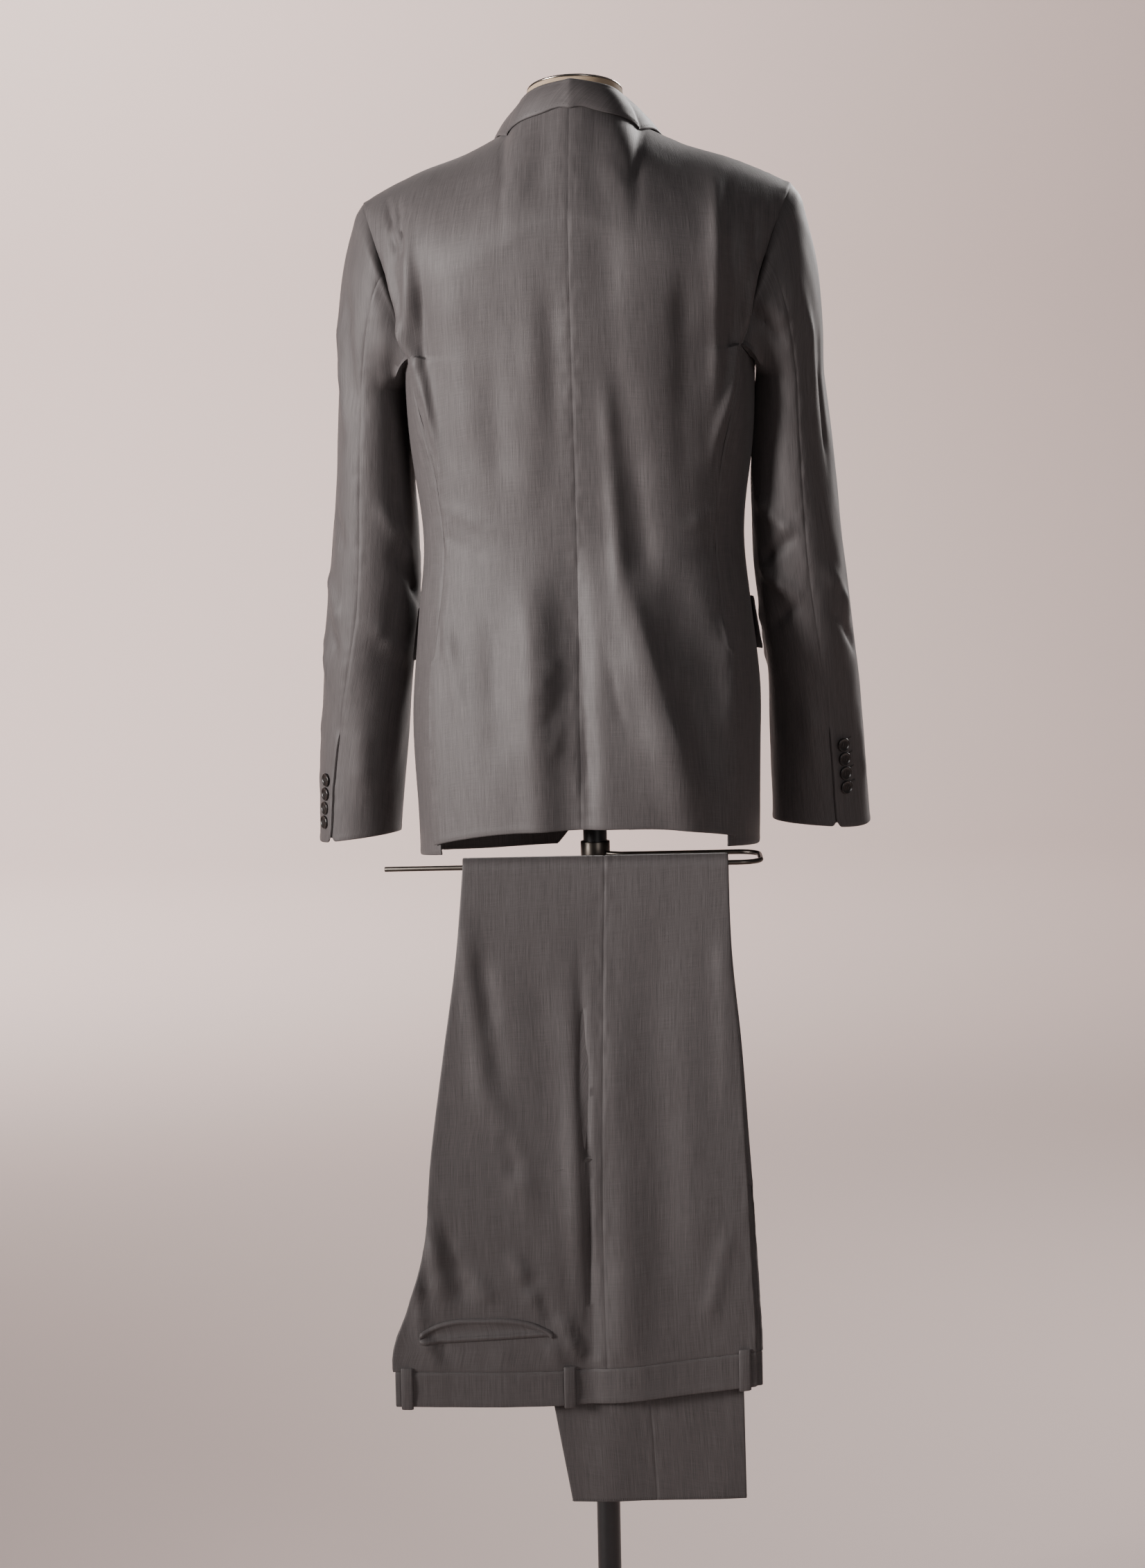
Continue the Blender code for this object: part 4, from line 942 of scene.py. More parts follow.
# Black satin of the stand, also used as the painted shade of the buttons' holes.
BLACK_SATIN = Finish("black_satin", (0.012, 0.012, 0.013), 0.38, grain=0.2, grain_size=300, bump=0.00002)


def linked(name: str, data: Optional[bpy.types.ID]) -> bpy.types.Object:
    """A new object of the scene.

    Args:
        name: The object's name.
        data: What it shows.

    Returns:
        The object.
    """
    made = bpy.data.objects.new(name, data)
    bpy.context.scene.collection.objects.link(made)
    return made


def link_mesh(name: str, vertices: Array, faces: Sequence[Sequence[int]], finishes: Sequence[Surfacing],
              indices: Optional[Array] = None, uv: Optional[Array] = None,
              sharp: float = 50.0) -> bpy.types.Object:
    """Makes an object at the origin from points and faces.

    Args:
        name: The object's name.
        vertices: Points, one row each.
        faces: Corners of each face.
        finishes: The finishes of its slots.
        indices: Slot number of each face.
        uv: Place of each point on the flat piece, in metres.
        sharp: Angle in degrees past which an edge is sharp.

    Returns:
        The object, linked to the scene.
    """
    mesh = bpy.data.meshes.new(name)
    mesh.from_pydata(np.asarray(vertices).tolist(), [], [list(f) for f in faces])
    for finish in finishes:
        mesh.materials.append(finish.make())
    if indices is not None:
        mesh.polygons.foreach_set("material_index", np.asarray(indices, dtype=np.int32))
    if uv is not None:
        corner = np.zeros(len(mesh.loops), dtype=np.int32)
        mesh.loops.foreach_get("vertex_index", corner)
        mesh.uv_layers.new(name="cut").data.foreach_set("uv", uv[corner].ravel())
    mesh.shade_smooth()
    mesh.set_sharp_from_angle(angle=math.radians(sharp))
    mesh.update()
    return linked(name, mesh)


def dress(piece: bpy.types.Object, slot: str, *nodes: str) -> bpy.types.Object:
    """Puts a finished piece on the part's body and lets it stand for its solids.

    Args:
        piece: The finished piece.
        slot: Name of its material slot; not used.
        nodes: Nodes whose solids it stands for.

    Returns:
        The same piece.
    """
    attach(piece, "root")
    if nodes:
        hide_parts(*nodes)
    log.info("%s: %d faces", piece.name, len(piece.data.polygons))
    return piece


def spaced(stretches: Sequence[tuple[float, float]], step: float) -> Array:
    """Values of a surface's parameter about a step apart, closer together near both ends.

    Args:
        stretches: The parameter and the length reached there, in metres, from first to last.
        step: Distance between two values, in metres.

    Returns:
        The values in order.
    """
    values, lengths = np.array(stretches, float).T
    total = lengths[-1]
    near = np.array([0.0, 0.0008, 0.0018, 0.0032, 0.0052])
    count = max(2, int(round((total - 0.016) / step)))
    places = np.concatenate([near, np.linspace(0.008, total - 0.008, count + 1), total - near[::-1]])
    return np.interp(places, lengths, values)


@dataclass
class Cloth:
    """A cut piece of cloth, as a thin shell over a surface."""

    name: str
    surface: Surface
    us: Array
    vs: Array
    hint: tuple[float, float, float]
    edges: tuple[Edge, Edge, Edge, Edge]
    relief: Optional[Callable[[Array, Array, Array], Array]] = None
    thickness: float = 0.0016
    lined: bool = False
    sample: tuple[float, float] = (0.5, 0.5)
    facing: float = 0.034
    seam_sink: float = 0.00050
    seam_half: float = 0.0014
    pucker: float = 0.00020
    edge_rise: float = 0.0003
    rounding: float = 0.45
    flat: tuple[float, float] = field(default=(0.0, 0.0), init=False)
    area: float = field(default=0.0, init=False)
    outer: Array = field(default=None, init=False)
    normals: Array = field(default=None, init=False)

    def facing_out(self, points: Array) -> tuple[Array, int]:
        """Normals of a grid of points that face the hinted way.

        Args:
            points: The grid.

        Returns:
            The normals, and 1 or -1 as the grid runs with or against them.
        """
        across, along = np.gradient(points, axis=1), np.gradient(points, axis=0)
        normals = unit(np.cross(across, along))
        j, i = (int(s * (n - 1)) for s, n in zip(self.sample, points.shape))
        sign = 1 if np.dot(normals[j, i], self.hint) > 0 else -1
        return normals * sign, sign

    def distances(self, points: Array) -> tuple[Array, Array, Array, Array]:
        """Distances of each place from the four edges, along the cloth.

        Args:
            points: The grid of points.

        Returns:
            The distances, from first to last column and row.
        """
        across = np.linalg.norm(np.diff(points, axis=1), axis=-1)
        along = np.linalg.norm(np.diff(points, axis=0), axis=-1)
        rows = np.concatenate([np.zeros((len(points), 1)), np.cumsum(across, 1)], 1)
        columns = np.concatenate([np.zeros((1, points.shape[1])), np.cumsum(along, 0)], 0)
        return rows, rows[:, -1:] - rows, columns, columns[-1:] - columns

    def measure(self, points: Array) -> None:
        """Takes the flat size of the cut from the smooth surface.

        Args:
            points: The grid of points.
        """
        across, along = np.diff(points, axis=1)[:-1], np.diff(points, axis=0)[:, :-1]
        self.area = float(np.linalg.norm(np.cross(across, along), axis=-1).sum())
        rows, _, columns, _ = self.distances(points)
        self.flat = (float(rows[:, -1].max()), float(columns[-1].max()))

    def build(self) -> bpy.types.Object:
        """Lays the cloth, sinks its seams and closes it as a shell.

        Returns:
            The piece.
        """
        u, v = np.meshgrid(self.us, self.vs)
        points = self.surface(u, v)
        self.measure(points)
        normals, sign = self.facing_out(points)
        reach = self.distances(points)
        height = self.relief(points, u, v) if self.relief else np.zeros(u.shape)
        for edge, d in zip(self.edges, reach):
            if edge is Edge.SEAM:
                pucker = self.pucker * ripple(points, 0.014, 3, 1.0) * bell(d - 0.004, 0.006)
                height = height - self.seam_sink * bell(d, self.seam_half) + pucker
            elif edge is Edge.FREE:
                height = height + self.edge_rise * bell(d - 0.0035, 0.0022)
        points = points + normals * height[..., None]
        normals, _ = self.facing_out(points)
        self.outer, self.normals = points + normals * self.thickness / 2, normals
        return self.shell(points, normals, sign, reach)

    def shell(self, points: Array, normals: Array, sign: int, reach: Sequence[Array]) -> bpy.types.Object:
        """Closes the laid cloth with rounded edges.

        Args:
            points: The laid middle surface.
            normals: Its normals.
            sign: 1 where the grid runs with its normals.
            reach: Distances from the edges, as the flat place of each point.

        Returns:
            The piece.
        """
        rows, columns = points.shape[:2]
        count = rows * columns
        index = np.arange(count).reshape(rows, columns)
        loop = np.concatenate([index[0], index[1:, -1], index[-1, -2::-1], index[-2:0:-1, 0]])
        inside = np.concatenate([index[1], index[1:, -2], index[-2, -2::-1], index[-2:0:-1, 1]])
        kinds = [self.edges[2]] * columns + [self.edges[1]] * (rows - 1)
        kinds += [self.edges[3]] * (columns - 1) + [self.edges[0]] * (rows - 2)
        push = np.array([0.0 if k is Edge.SEAM else self.rounding * self.thickness for k in kinds])
        flat = points.reshape(-1, 3)
        rim = flat[loop] + unit(flat[loop] - flat[inside]) * push[:, None]
        shift = normals * self.thickness / 2
        vertices = np.concatenate([(points + shift).reshape(-1, 3), (points - shift).reshape(-1, 3), rim])
        first = index[:-1, :-1].ravel()
        skin = np.stack([first, index[:-1, 1:].ravel(), index[1:, 1:].ravel(), index[1:, :-1].ravel()], 1)
        following = np.roll(loop, -1)
        middle = 2 * count + np.arange(len(loop))
        after = np.roll(middle, -1)
        upper = np.stack([following, loop, middle, after], 1)
        lower = np.stack([after, middle, loop + count, following + count], 1)
        faces = np.concatenate([skin, skin[:, ::-1] + count, upper, lower])
        if sign < 0:
            faces = faces[:, ::-1]
        place = np.stack([reach[0], reach[2]], -1).reshape(-1, 2)
        uv = np.concatenate([place, place, place[loop]])
        indices = np.zeros(len(faces), dtype=np.int32)
        if self.lined:
            free = np.full(points.shape[:2], 1.0)
            for edge, distance in zip(self.edges, reach):
                free = np.minimum(free, distance) if edge is Edge.FREE else free
            indices[len(skin):2 * len(skin)] = (free.ravel()[first] > self.facing).astype(np.int32)
        finishes = [WORSTED, LINING] if self.lined else [WORSTED]
        return link_mesh(self.name, vertices, faces, finishes, indices, uv)

    def line(self, along_v: bool, from_end: bool, inset: float, out: float = 0.0001) -> Array:
        """A line of places a little in from an edge.

        Args:
            along_v: True for the first or last column, False for the first or last row.
            from_end: True for the last one.
            inset: Distance in from the edge.
            out: Distance out from the cloth.

        Returns:
            The places in order.
        """
        grid = self.outer + self.normals * out
        grid = grid if along_v else grid.transpose(1, 0, 2)
        grid = grid[:, ::-1] if from_end else grid
        lengths = np.cumsum(np.linalg.norm(np.diff(grid, axis=1), axis=-1), 1)
        lengths = np.concatenate([np.zeros((len(grid), 1)), lengths], 1)
        rows = zip(lengths, grid)
        return np.array([[np.interp(inset, far, row[:, n]) for n in range(3)] for far, row in rows])

    def declare(self, piece: bpy.types.Object, held: str, rests_on: Sequence[str],
                with_pieces: Sequence[bpy.types.Object] = ()) -> None:
        """Logs the cloth's flat size and area."""
        log.info("%s cut %.0f x %.0f mm, %.4f m2", self.name, *(1000 * s for s in self.flat), self.area)


@dataclass
class StitchRuns:
    """Stitches set along lines by one Geometry Nodes tree."""

    name: str
    spacing: float
    length: float
    radius: float
    finish: Finish
    seed: int = 5
    unevenness: float = 0.18
    lines: list[tuple[Array, Array]] = field(default_factory=list)

    def add(self, line: Array, way: Optional[Array] = None) -> None:
        """Adds a line of stitches.

        Args:
            line: Places along the line.
            way: Way of each stitch, or None for along the line.
        """
        ways = np.gradient(line, axis=0)
        if way is not None:
            ways = np.broadcast_to(np.asarray(way, float), line.shape)
        self.lines.append((line, unit(ways)))

    def tree(self) -> bpy.types.NodeTree:
        """The tree: a thread set at each place of a resampled line, turned to its own way.

        Returns:
            The tree.
        """
        tree = bpy.data.node_groups.new(self.name + "_tree", "GeometryNodeTree")
        sockets = {"Lines": "Geometry", "Spacing": "Float", "Stitch Length": "Float",
                   "Thread Radius": "Float", "Unevenness": "Float", "Seed": "Int"}
        for label, kind in sockets.items():
            tree.interface.new_socket(label, in_out="INPUT", socket_type="NodeSocket" + kind)
        tree.interface.new_socket("Stitches", in_out="OUTPUT", socket_type="NodeSocketGeometry")
        given = add_node(tree, "NodeGroupInput").outputs
        curve = add_node(tree, "GeometryNodeMeshToCurve", {"Mesh": given["Lines"]})
        spots = add_node(tree, "GeometryNodeResampleCurve", mode="LENGTH")
        fill(tree, spots, {"Curve": curve.outputs["Curve"], "Length": given["Spacing"]})
        thread = add_node(tree, "GeometryNodeMeshUVSphere", {"Segments": 6, "Rings": 4, "Radius": 1.0})
        way = add_node(tree, "GeometryNodeInputNamedAttribute", {"Name": "way"}, data_type="FLOAT_VECTOR")
        turn = add_node(tree, "FunctionNodeAlignRotationToVector", axis="X")
        fill(tree, turn, {"Vector": way.outputs["Attribute"]})
        ends = {0: 1.0, 1: given["Unevenness"]}
        low, high = (add_node(tree, "ShaderNodeMath", ends, operation=how) for how in ("SUBTRACT", "ADD"))
        uneven = add_node(tree, "FunctionNodeRandomValue", data_type="FLOAT")
        fill(tree, uneven, {2: low.outputs[0], 3: high.outputs[0], "Seed": given["Seed"]})
        length = {0: uneven.outputs[1], 1: given["Stitch Length"]}
        size = add_node(tree, "ShaderNodeCombineXYZ", {
            "X": add_node(tree, "ShaderNodeMath", length, operation="MULTIPLY").outputs[0],
            "Y": given["Thread Radius"], "Z": given["Thread Radius"]})
        scaled = add_node(tree, "GeometryNodeInstanceOnPoints", {
            "Points": spots.outputs["Curve"], "Instance": thread.outputs["Mesh"],
            "Rotation": turn.outputs["Rotation"], "Scale": size.outputs["Vector"]})
        real = add_node(tree, "GeometryNodeRealizeInstances", {"Geometry": scaled.outputs["Instances"]})
        coloured = add_node(tree, "GeometryNodeSetMaterial", {
            "Geometry": real.outputs["Geometry"], "Material": self.finish.make()})
        add_node(tree, "NodeGroupOutput", {"Stitches": coloured.outputs["Geometry"]})
        return tree

    def build(self) -> bpy.types.Object:
        """Runs the tree over the lines and keeps the result as a plain mesh.

        Returns:
            The piece.
        """
        vertices, edges, ways = [], [], []
        for line, way in self.lines:
            start = len(vertices)
            vertices += line.tolist()
            ways += way.tolist()
            edges += [(start + k, start + k + 1) for k in range(len(line) - 1)]
        mesh = bpy.data.meshes.new(self.name + "_lines")
        mesh.from_pydata(vertices, edges, [])
        mesh.attributes.new("way", "FLOAT_VECTOR", "POINT").data.foreach_set("vector", np.array(ways).ravel())
        guide = linked(self.name + "_lines", mesh)
        tree = self.tree()
        setter = guide.modifiers.new("stitches", "NODES")
        setter.node_group = tree
        sizes = {"Spacing": self.spacing, "Stitch Length": self.length / 2, "Thread Radius": self.radius,
                 "Unevenness": self.unevenness, "Seed": self.seed}
        for item in tree.interface.items_tree:
            if item.in_out == "INPUT" and item.name in sizes:
                setter[item.identifier] = sizes[item.name]
        guide.update_tag()
        evaluated = guide.evaluated_get(bpy.context.evaluated_depsgraph_get())
        result = bpy.data.meshes.new_from_object(evaluated)
        guide.modifiers.remove(setter)
        bpy.data.objects.remove(guide)
        result.name = self.name
        if not result.materials:
            result.materials.append(self.finish.make())
        result.shade_smooth()
        return linked(self.name, result)


@dataclass
class Button:
    """A four-hole button with its thread, its holes drawn as painted shade on the face."""

    radius: float
    sides: int = 40
    hole_at: float = 0.24
    hole: float = 0.135
    hole_floor: float = 0.00166
    thread: float = 0.00034
    thread_z: float = 0.00175

    def points(self) -> tuple[Array, list[list[int]], list[int]]:
        """The button's points, faces and slots, on the plane z = 0 and facing up.

        Returns:
            The points, the faces and the slot of each face.
        """
        r = self.radius
        profile = [(0.60, 0.0), (0.90, 0.0005), (0.985, 0.0010), (1.0, 0.0016), (0.975, 0.0022),
                   (0.91, 0.0025), (0.83, 0.0024), (0.74, 0.0019), (0.66, 0.0017), (0.5, 0.0016)]
        vertices, faces, slots = [], [], []
        rings = []
        for share, height in profile:
            angles = [2 * math.pi * k / self.sides for k in range(self.sides)]
            rings.append([(share * r * math.cos(a), share * r * math.sin(a), height) for a in angles])
        self.closed(vertices, faces, slots, rings, 0)
        hole = self.hole_at * r
        for x in (-1, 1):
            for y in (-1, 1):
                # Each hole is a black disc of painted shade; no real hole is cut.
                self.disc(vertices, faces, slots, (hole * x, hole * y, self.hole_floor), self.hole * r)
            self.bar(vertices, faces, slots, hole * x, hole)
        return np.array(vertices), faces, slots

    @staticmethod
    def closed(vertices: list, faces: list, slots: list, rings: Sequence[Sequence], slot: int) -> None:
        """Adds a closed body through rings of points.

        Args:
            vertices: The points so far.
            faces: The faces so far.
            slots: The slot of each face so far.
            rings: Rings with the same number of points.
            slot: The slot of the new faces.
        """
        start, sides, last = len(vertices), len(rings[0]), len(rings) - 1
        for ring in rings:
            vertices.extend(ring)
        for j in range(last):
            low, high = start + j * sides, start + (j + 1) * sides
            for k in range(sides):
                n = (k + 1) % sides
                faces.append([low + k, low + n, high + n, high + k])
        faces.append([start + k for k in range(sides)][::-1])
        faces.append([start + last * sides + k for k in range(sides)])
        slots.extend([slot] * (last * sides + 2))

    def disc(self, vertices: list, faces: list, slots: list, centre: tuple[float, float, float],
             radius: float) -> None:
        """Adds a hole as painted shade: a thin closed black disc laid on the button's face.

        Args:
            vertices: The points so far.
            faces: The faces so far.
            slots: The slot of each face so far.
            centre: The middle of the disc's top.
            radius: The disc's radius.
        """
        x, y, z = centre
        turns = [2 * math.pi * k / 10 for k in range(10)]
        rings = [[(x + radius * math.cos(a), y + radius * math.sin(a), z + height) for a in turns]
                 for height in (-0.0002, 0.0)]
        self.closed(vertices, faces, slots, rings, 2)

    def bar(self, vertices: list, faces: list, slots: list, x: float, half: float) -> None:
        """Adds a thread between two holes, as a round bar with closed ends.

        Args:
            vertices: The points so far.
            faces: The faces so far.
            slots: The slot of each face so far.
            x: Distance of the thread from the button's middle.
            half: Half of its length.
        """
        ends = [(-half, 0.3), (-0.8 * half, 1.0), (0.0, 1.15), (0.8 * half, 1.0), (half, 0.3)]
        turns = [2 * math.pi * k / 8 for k in range(8)]
        rings = [[(x + t * self.thread * math.sin(a), y, self.thread_z + t * self.thread * math.cos(a))
                  for a in turns] for y, t in ends]
        self.closed(vertices, faces, slots, rings, 1)

    def build(self, name: str, place: Matrix, node: str) -> bpy.types.Object:
        """The button in its place, standing for its solid.

        Args:
            name: The object's name.
            place: Its frame.
            node: The node of its solid.

        Returns:
            The piece.
        """
        vertices, faces, slots = self.points()
        turned = np.array([place @ Vector(v) for v in vertices])
        # Slot 2, black satin, is the painted shade of the holes.
        piece = link_mesh(name, turned, faces, [HORN, THREAD, BLACK_SATIN], np.array(slots), sharp=60)
        return dress(piece, "button_horn", node)


@dataclass
class Garment:
    """What both garments share: their pieces of cloth, by the node that each stands for."""

    pieces: dict[str, tuple[Cloth, bpy.types.Object]] = field(default_factory=dict)

    def lay(self, cloth: Cloth, node: str) -> None:
        """Builds a piece and dresses the node of its solid."""
        self.pieces[node] = (cloth, dress(cloth.build(), "worsted", node))


@dataclass
class Jacket(Garment):
    """The jacket: its body, sleeves, collar, lapels, flaps, buttons and sewing."""

    cut: JacketCut = field(default_factory=JacketCut)
    step: float = 0.0042
    fine_step: float = 0.0030
    cuff_button: float = 0.0069
    front_button: float = 0.0100
    button_pitch: float = 0.0146
    front_button_z: float = 1.123
    front_button_pitch: float = 0.105
    picked: StitchRuns = field(
        default_factory=lambda: StitchRuns("pick_stitches", 0.0058, 0.0011, 0.00022, THREAD))
    holes: StitchRuns = field(
        default_factory=lambda: StitchRuns("buttonhole_threads", 0.00055, 0.0016, 0.00028, THREAD))

    back_creases: tuple[Crease, ...] = creased(
        (0.018, 1.56, 0.034, 1.20, 0.015, -0.0034, 1.5), (0.016, 1.36, 0.032, 1.09, 0.009, 0.0038, 0.8),
        (0.040, 1.36, 0.058, 1.08, 0.013, -0.0040, 1.3), (0.096, 1.48, 0.094, 1.22, 0.011, -0.0026),
        (0.130, 1.535, 0.126, 1.29, 0.0065, 0.0034, 0.8),
        (0.143, 1.535, 0.149, 1.41, 0.0060, -0.0030, 1.2, 0.003),
        (0.156, 1.510, 0.153, 1.30, 0.0060, 0.0030, 0.8), (0.169, 1.505, 0.168, 1.42, 0.0042, -0.0034),
        (-0.193, 1.520, -0.182, 1.440, 0.0036, -0.0042), (-0.182, 1.520, -0.176, 1.445, 0.0030, -0.0034),
        (-0.172, 1.50, -0.173, 1.25, 0.0055, 0.0052, 0.8), (-0.158, 1.47, -0.160, 1.27, 0.0045, -0.0026),
        (-0.128, 1.46, -0.116, 1.24, 0.014, 0.0022), (-0.092, 1.42, -0.086, 1.18, 0.012, -0.0018),
        (-0.034, 1.47, -0.030, 1.22, 0.010, -0.0024, 1.2), (-0.048, 1.42, -0.058, 1.18, 0.014, 0.0016),
        (-0.014, 1.19, -0.004, 0.845, 0.0090, -0.0046, 0.9),
        (-0.058, 1.18, -0.058, 0.92, 0.024, 0.0058, 0.8), (-0.100, 1.12, -0.096, 0.93, 0.013, -0.0024),
        (0.028, 1.150, 0.108, 0.885, 0.011, 0.0075, 3.0), (0.062, 1.13, 0.130, 0.91, 0.014, -0.0046, 1.4),
        (0.010, 1.09, 0.034, 0.97, 0.006, -0.0012), (-0.024, 1.075, -0.066, 1.010, 0.0070, 0.0012, 1.5),
        (-0.018, 1.050, -0.054, 0.985, 0.0060, -0.0010), (-0.026, 1.015, -0.044, 0.955, 0.0060, 0.0010),
        (-0.150, 1.215, -0.084, 1.180, 0.009, 0.0010), (-0.150, 1.185, -0.096, 1.155, 0.008, -0.0009),
        (0.150, 1.215, 0.084, 1.180, 0.009, 0.0011), (0.150, 1.180, 0.096, 1.152, 0.008, -0.0009),
        (-0.148, 1.13, -0.128, 0.99, 0.008, 0.0026), (0.140, 1.12, 0.134, 0.97, 0.009, 0.0024),
        (-0.020, 1.585, -0.055, 1.50, 0.010, -0.0012), (0.020, 1.585, 0.060, 1.50, 0.010, -0.0014),
    )
    front_creases: tuple[Crease, ...] = creased(
        (-0.125, 1.36, -0.070, 1.17, 0.012, 0.0030, 1.5), (0.125, 1.36, 0.072, 1.17, 0.012, 0.0028, 1.4),
        (-0.145, 1.33, -0.098, 1.18, 0.010, -0.0026), (0.147, 1.32, 0.100, 1.18, 0.010, -0.0026),
        (-0.040, 1.130, -0.128, 1.165, 0.007, 0.0030, 1.6),
        (0.044, 1.130, 0.130, 1.160, 0.007, 0.0030, 1.6), (-0.045, 1.108, -0.120, 1.128, 0.006, -0.0020),
        (0.048, 1.108, 0.118, 1.126, 0.006, -0.0022), (-0.036, 1.092, -0.112, 1.05, 0.008, 0.0022),
        (0.040, 1.092, 0.112, 1.045, 0.008, 0.0022), (-0.135, 1.03, -0.118, 0.87, 0.014, 0.0030),
        (0.132, 1.03, 0.116, 0.88, 0.014, 0.0028), (-0.104, 1.03, -0.094, 0.87, 0.012, -0.0022),
        (0.106, 1.03, 0.090, 0.88, 0.012, -0.0020), (-0.168, 1.48, -0.150, 1.36, 0.007, -0.0030),
        (0.168, 1.48, 0.150, 1.36, 0.007, -0.0030), (-0.150, 1.49, -0.130, 1.38, 0.008, 0.0026),
        (0.150, 1.49, 0.132, 1.38, 0.008, 0.0024),
    )

    def sleeve_creases(self, hand: Hand) -> tuple[Crease, ...]:
        """Creases of a sleeve, over the way round it (2 cm a place) and the height."""
        if hand is Hand.LEFT:
            return creased(
                (0.026, 1.45, 0.076, 1.30, 0.008, -0.0042, 1.4), (0.014, 1.42, 0.058, 1.27, 0.009, 0.0032),
                (0.084, 1.42, 0.128, 1.30, 0.008, 0.0036), (0.100, 1.38, 0.140, 1.28, 0.007, -0.0034),
                (0.010, 1.15, 0.064, 1.085, 0.008, 0.0034, 1.5),
                (0.014, 1.12, 0.070, 1.045, 0.007, -0.0030), (0.006, 1.095, 0.050, 1.02, 0.009, 0.0022),
                (0.094, 1.22, 0.150, 1.14, 0.008, 0.0040), (0.110, 1.17, 0.165, 1.10, 0.007, -0.0040),
                (0.088, 1.10, 0.150, 1.045, 0.008, 0.0034), (0.030, 1.22, 0.066, 1.15, 0.009, -0.0022),
                (-0.070, 1.31, -0.030, 1.22, 0.010, 0.0028), (0.020, 1.01, 0.034, 0.90, 0.010, 0.0020),
                (0.104, 1.02, 0.116, 0.90, 0.010, 0.0022), (0.190, 1.33, 0.160, 1.24, 0.008, -0.0032),
                (0.200, 1.18, 0.170, 1.08, 0.009, 0.0030), (-0.050, 1.16, -0.010, 1.08, 0.010, -0.0024),
            )
        return creased(
            (0.118, 1.44, 0.082, 1.38, 0.006, 0.0046, 1.5), (0.124, 1.42, 0.086, 1.355, 0.005, -0.0036),
            (0.030, 1.39, 0.034, 1.22, 0.0045, -0.0030), (0.052, 1.43, 0.050, 1.26, 0.007, 0.0026),
            (0.136, 1.215, 0.088, 1.170, 0.007, 0.0050), (0.088, 1.178, 0.140, 1.140, 0.006, -0.0046),
            (0.140, 1.150, 0.086, 1.105, 0.007, 0.0050), (0.092, 1.110, 0.136, 1.075, 0.006, -0.0034),
            (0.066, 1.15, 0.010, 1.085, 0.009, 0.0032), (0.070, 1.11, 0.000, 1.045, 0.008, -0.0030),
            (-0.010, 1.14, -0.070, 1.06, 0.009, 0.0026), (-0.040, 1.35, -0.062, 1.24, 0.010, 0.0026),
            (0.150, 1.11, 0.180, 1.03, 0.008, 0.0030), (0.022, 1.01, 0.028, 0.90, 0.010, 0.0018),
            (0.100, 1.02, 0.096, 0.90, 0.009, 0.0026), (0.200, 1.30, 0.170, 1.20, 0.009, -0.0028),
        )

    def fullness(self, angle: Array, z: Array) -> Array:
        """Extra cloth under the arm, which fills the space beside the sleeve."""
        spread = smooth((angle - 40) / 20) * (1 - smooth((angle - 92) / 20))
        return 0.0034 * spread * bell(z - 1.295, 0.055)

    def front_drape(self, points: Array) -> Array:
        """Drape of the fronts and of what lies on them, none near the middle or the neck.

        Args:
            points: The grid of points.

        Returns:
            The push at each place, in metres.
        """
        x, z = points[..., 0], points[..., 2]
        fade = smooth((np.abs(x) - 0.022) / 0.03) * smooth((1.50 - z) / 0.08)
        soft = 0.0006 * ripple(points, 0.080, 21) + 0.0002 * ripple(points, 0.026, 22)
        return fade * (crease_depth(self.front_creases, x, z) + soft)

    def body(self, hand: Hand) -> None:
        """The back, side and front of one half.

        Args:
            hand: The wearer's side.
        """
        cut = self.cut
        tall = spaced([(0, 0), (1, 0.475), (2, 0.675)], self.step)
        fine = spaced([(0, 0), (1, 0.475), (2, 0.675)], self.fine_step)
        short = spaced([(0, 0), (1, 0.500)], self.step)

        def back_relief(points: Array, u: Array, v: Array) -> Array:
            """Drape of the back, with its vent's edge left unsunk.

            Args:
                points: The grid of points.
                u: First parameter of the surface.
                v: Second parameter of the surface.

            Returns:
                The push at each place, in metres.
            """
            x, z = points[..., 0], points[..., 2]
            fade = smooth((2 - v) / 0.10) * smooth((1.572 - z + 0.25 * np.abs(x)) / 0.05)
            soft = 0.00026 * ripple(points, 0.100, 11, 1.7) + 0.00010 * ripple(points, 0.030, 12)
            inset = np.linalg.norm(points - cut.back(hand, 0 * u + 1, v), axis=-1)
            open_edge = 0.0008 * bell(inset, 0.003) * smooth((cut.vent_top - z) / 0.02)
            fold = 0.0068 * bell(inset - 0.0105, 0.006) * smooth((1.475 - z) / 0.06)
            fold = fold * smooth((z - 1.235) / 0.10)
            full = self.fullness(u * cut.side_back(z), z)
            return fade * (crease_depth(self.back_creases, x, z) + soft) + open_edge + fold + full

        def front_relief(points: Array, u: Array, v: Array) -> Array:
            """Drape of the front, which the lapel and the flap over it share."""
            return self.front_drape(points)

        def side_relief(points: Array, u: Array, v: Array) -> Array:
            """Drape of the side panel.

            Args:
                points: The grid of points.
                u: First parameter of the surface.
                v: Second parameter of the surface.

            Returns:
                The push at each place, in metres.
            """
            angle = cut.side_back_top + u * (cut.side_front - cut.side_back_top)
            soft = 0.0005 * ripple(points, 0.070, 31) * smooth(u / 0.2) * smooth((1 - u) / 0.2)
            return soft + self.fullness(angle, points[..., 2])

        seam, free = Edge.SEAM, Edge.FREE
        sewn = (seam, seam, free, seam)
        middle = (0.5, 0.5)
        for panel, surface, width, step, rows, hint, edges, relief, sample in (
                ("back", cut.back, 0.195, self.fine_step, fine, (0, -1, 0), sewn, back_relief, middle),
                ("side", cut.side, 0.150, self.step, short, (hand.value, 0, 0), sewn, side_relief, middle),
                ("front", cut.front, 0.205, self.step, tall, (0, 1, 0), (seam, free, free, seam),
                 front_relief, (0.3, 0.6))):
            cloth = Cloth(f"{panel}_panel_{hand.word}", lambda u, v, s=surface: s(hand, u, v),
                          spaced([(0, 0), (1, width)], step), rows, hint, edges, relief, lined=True,
                          sample=sample)
            self.lay(cloth, f"{panel}_{hand.word}")

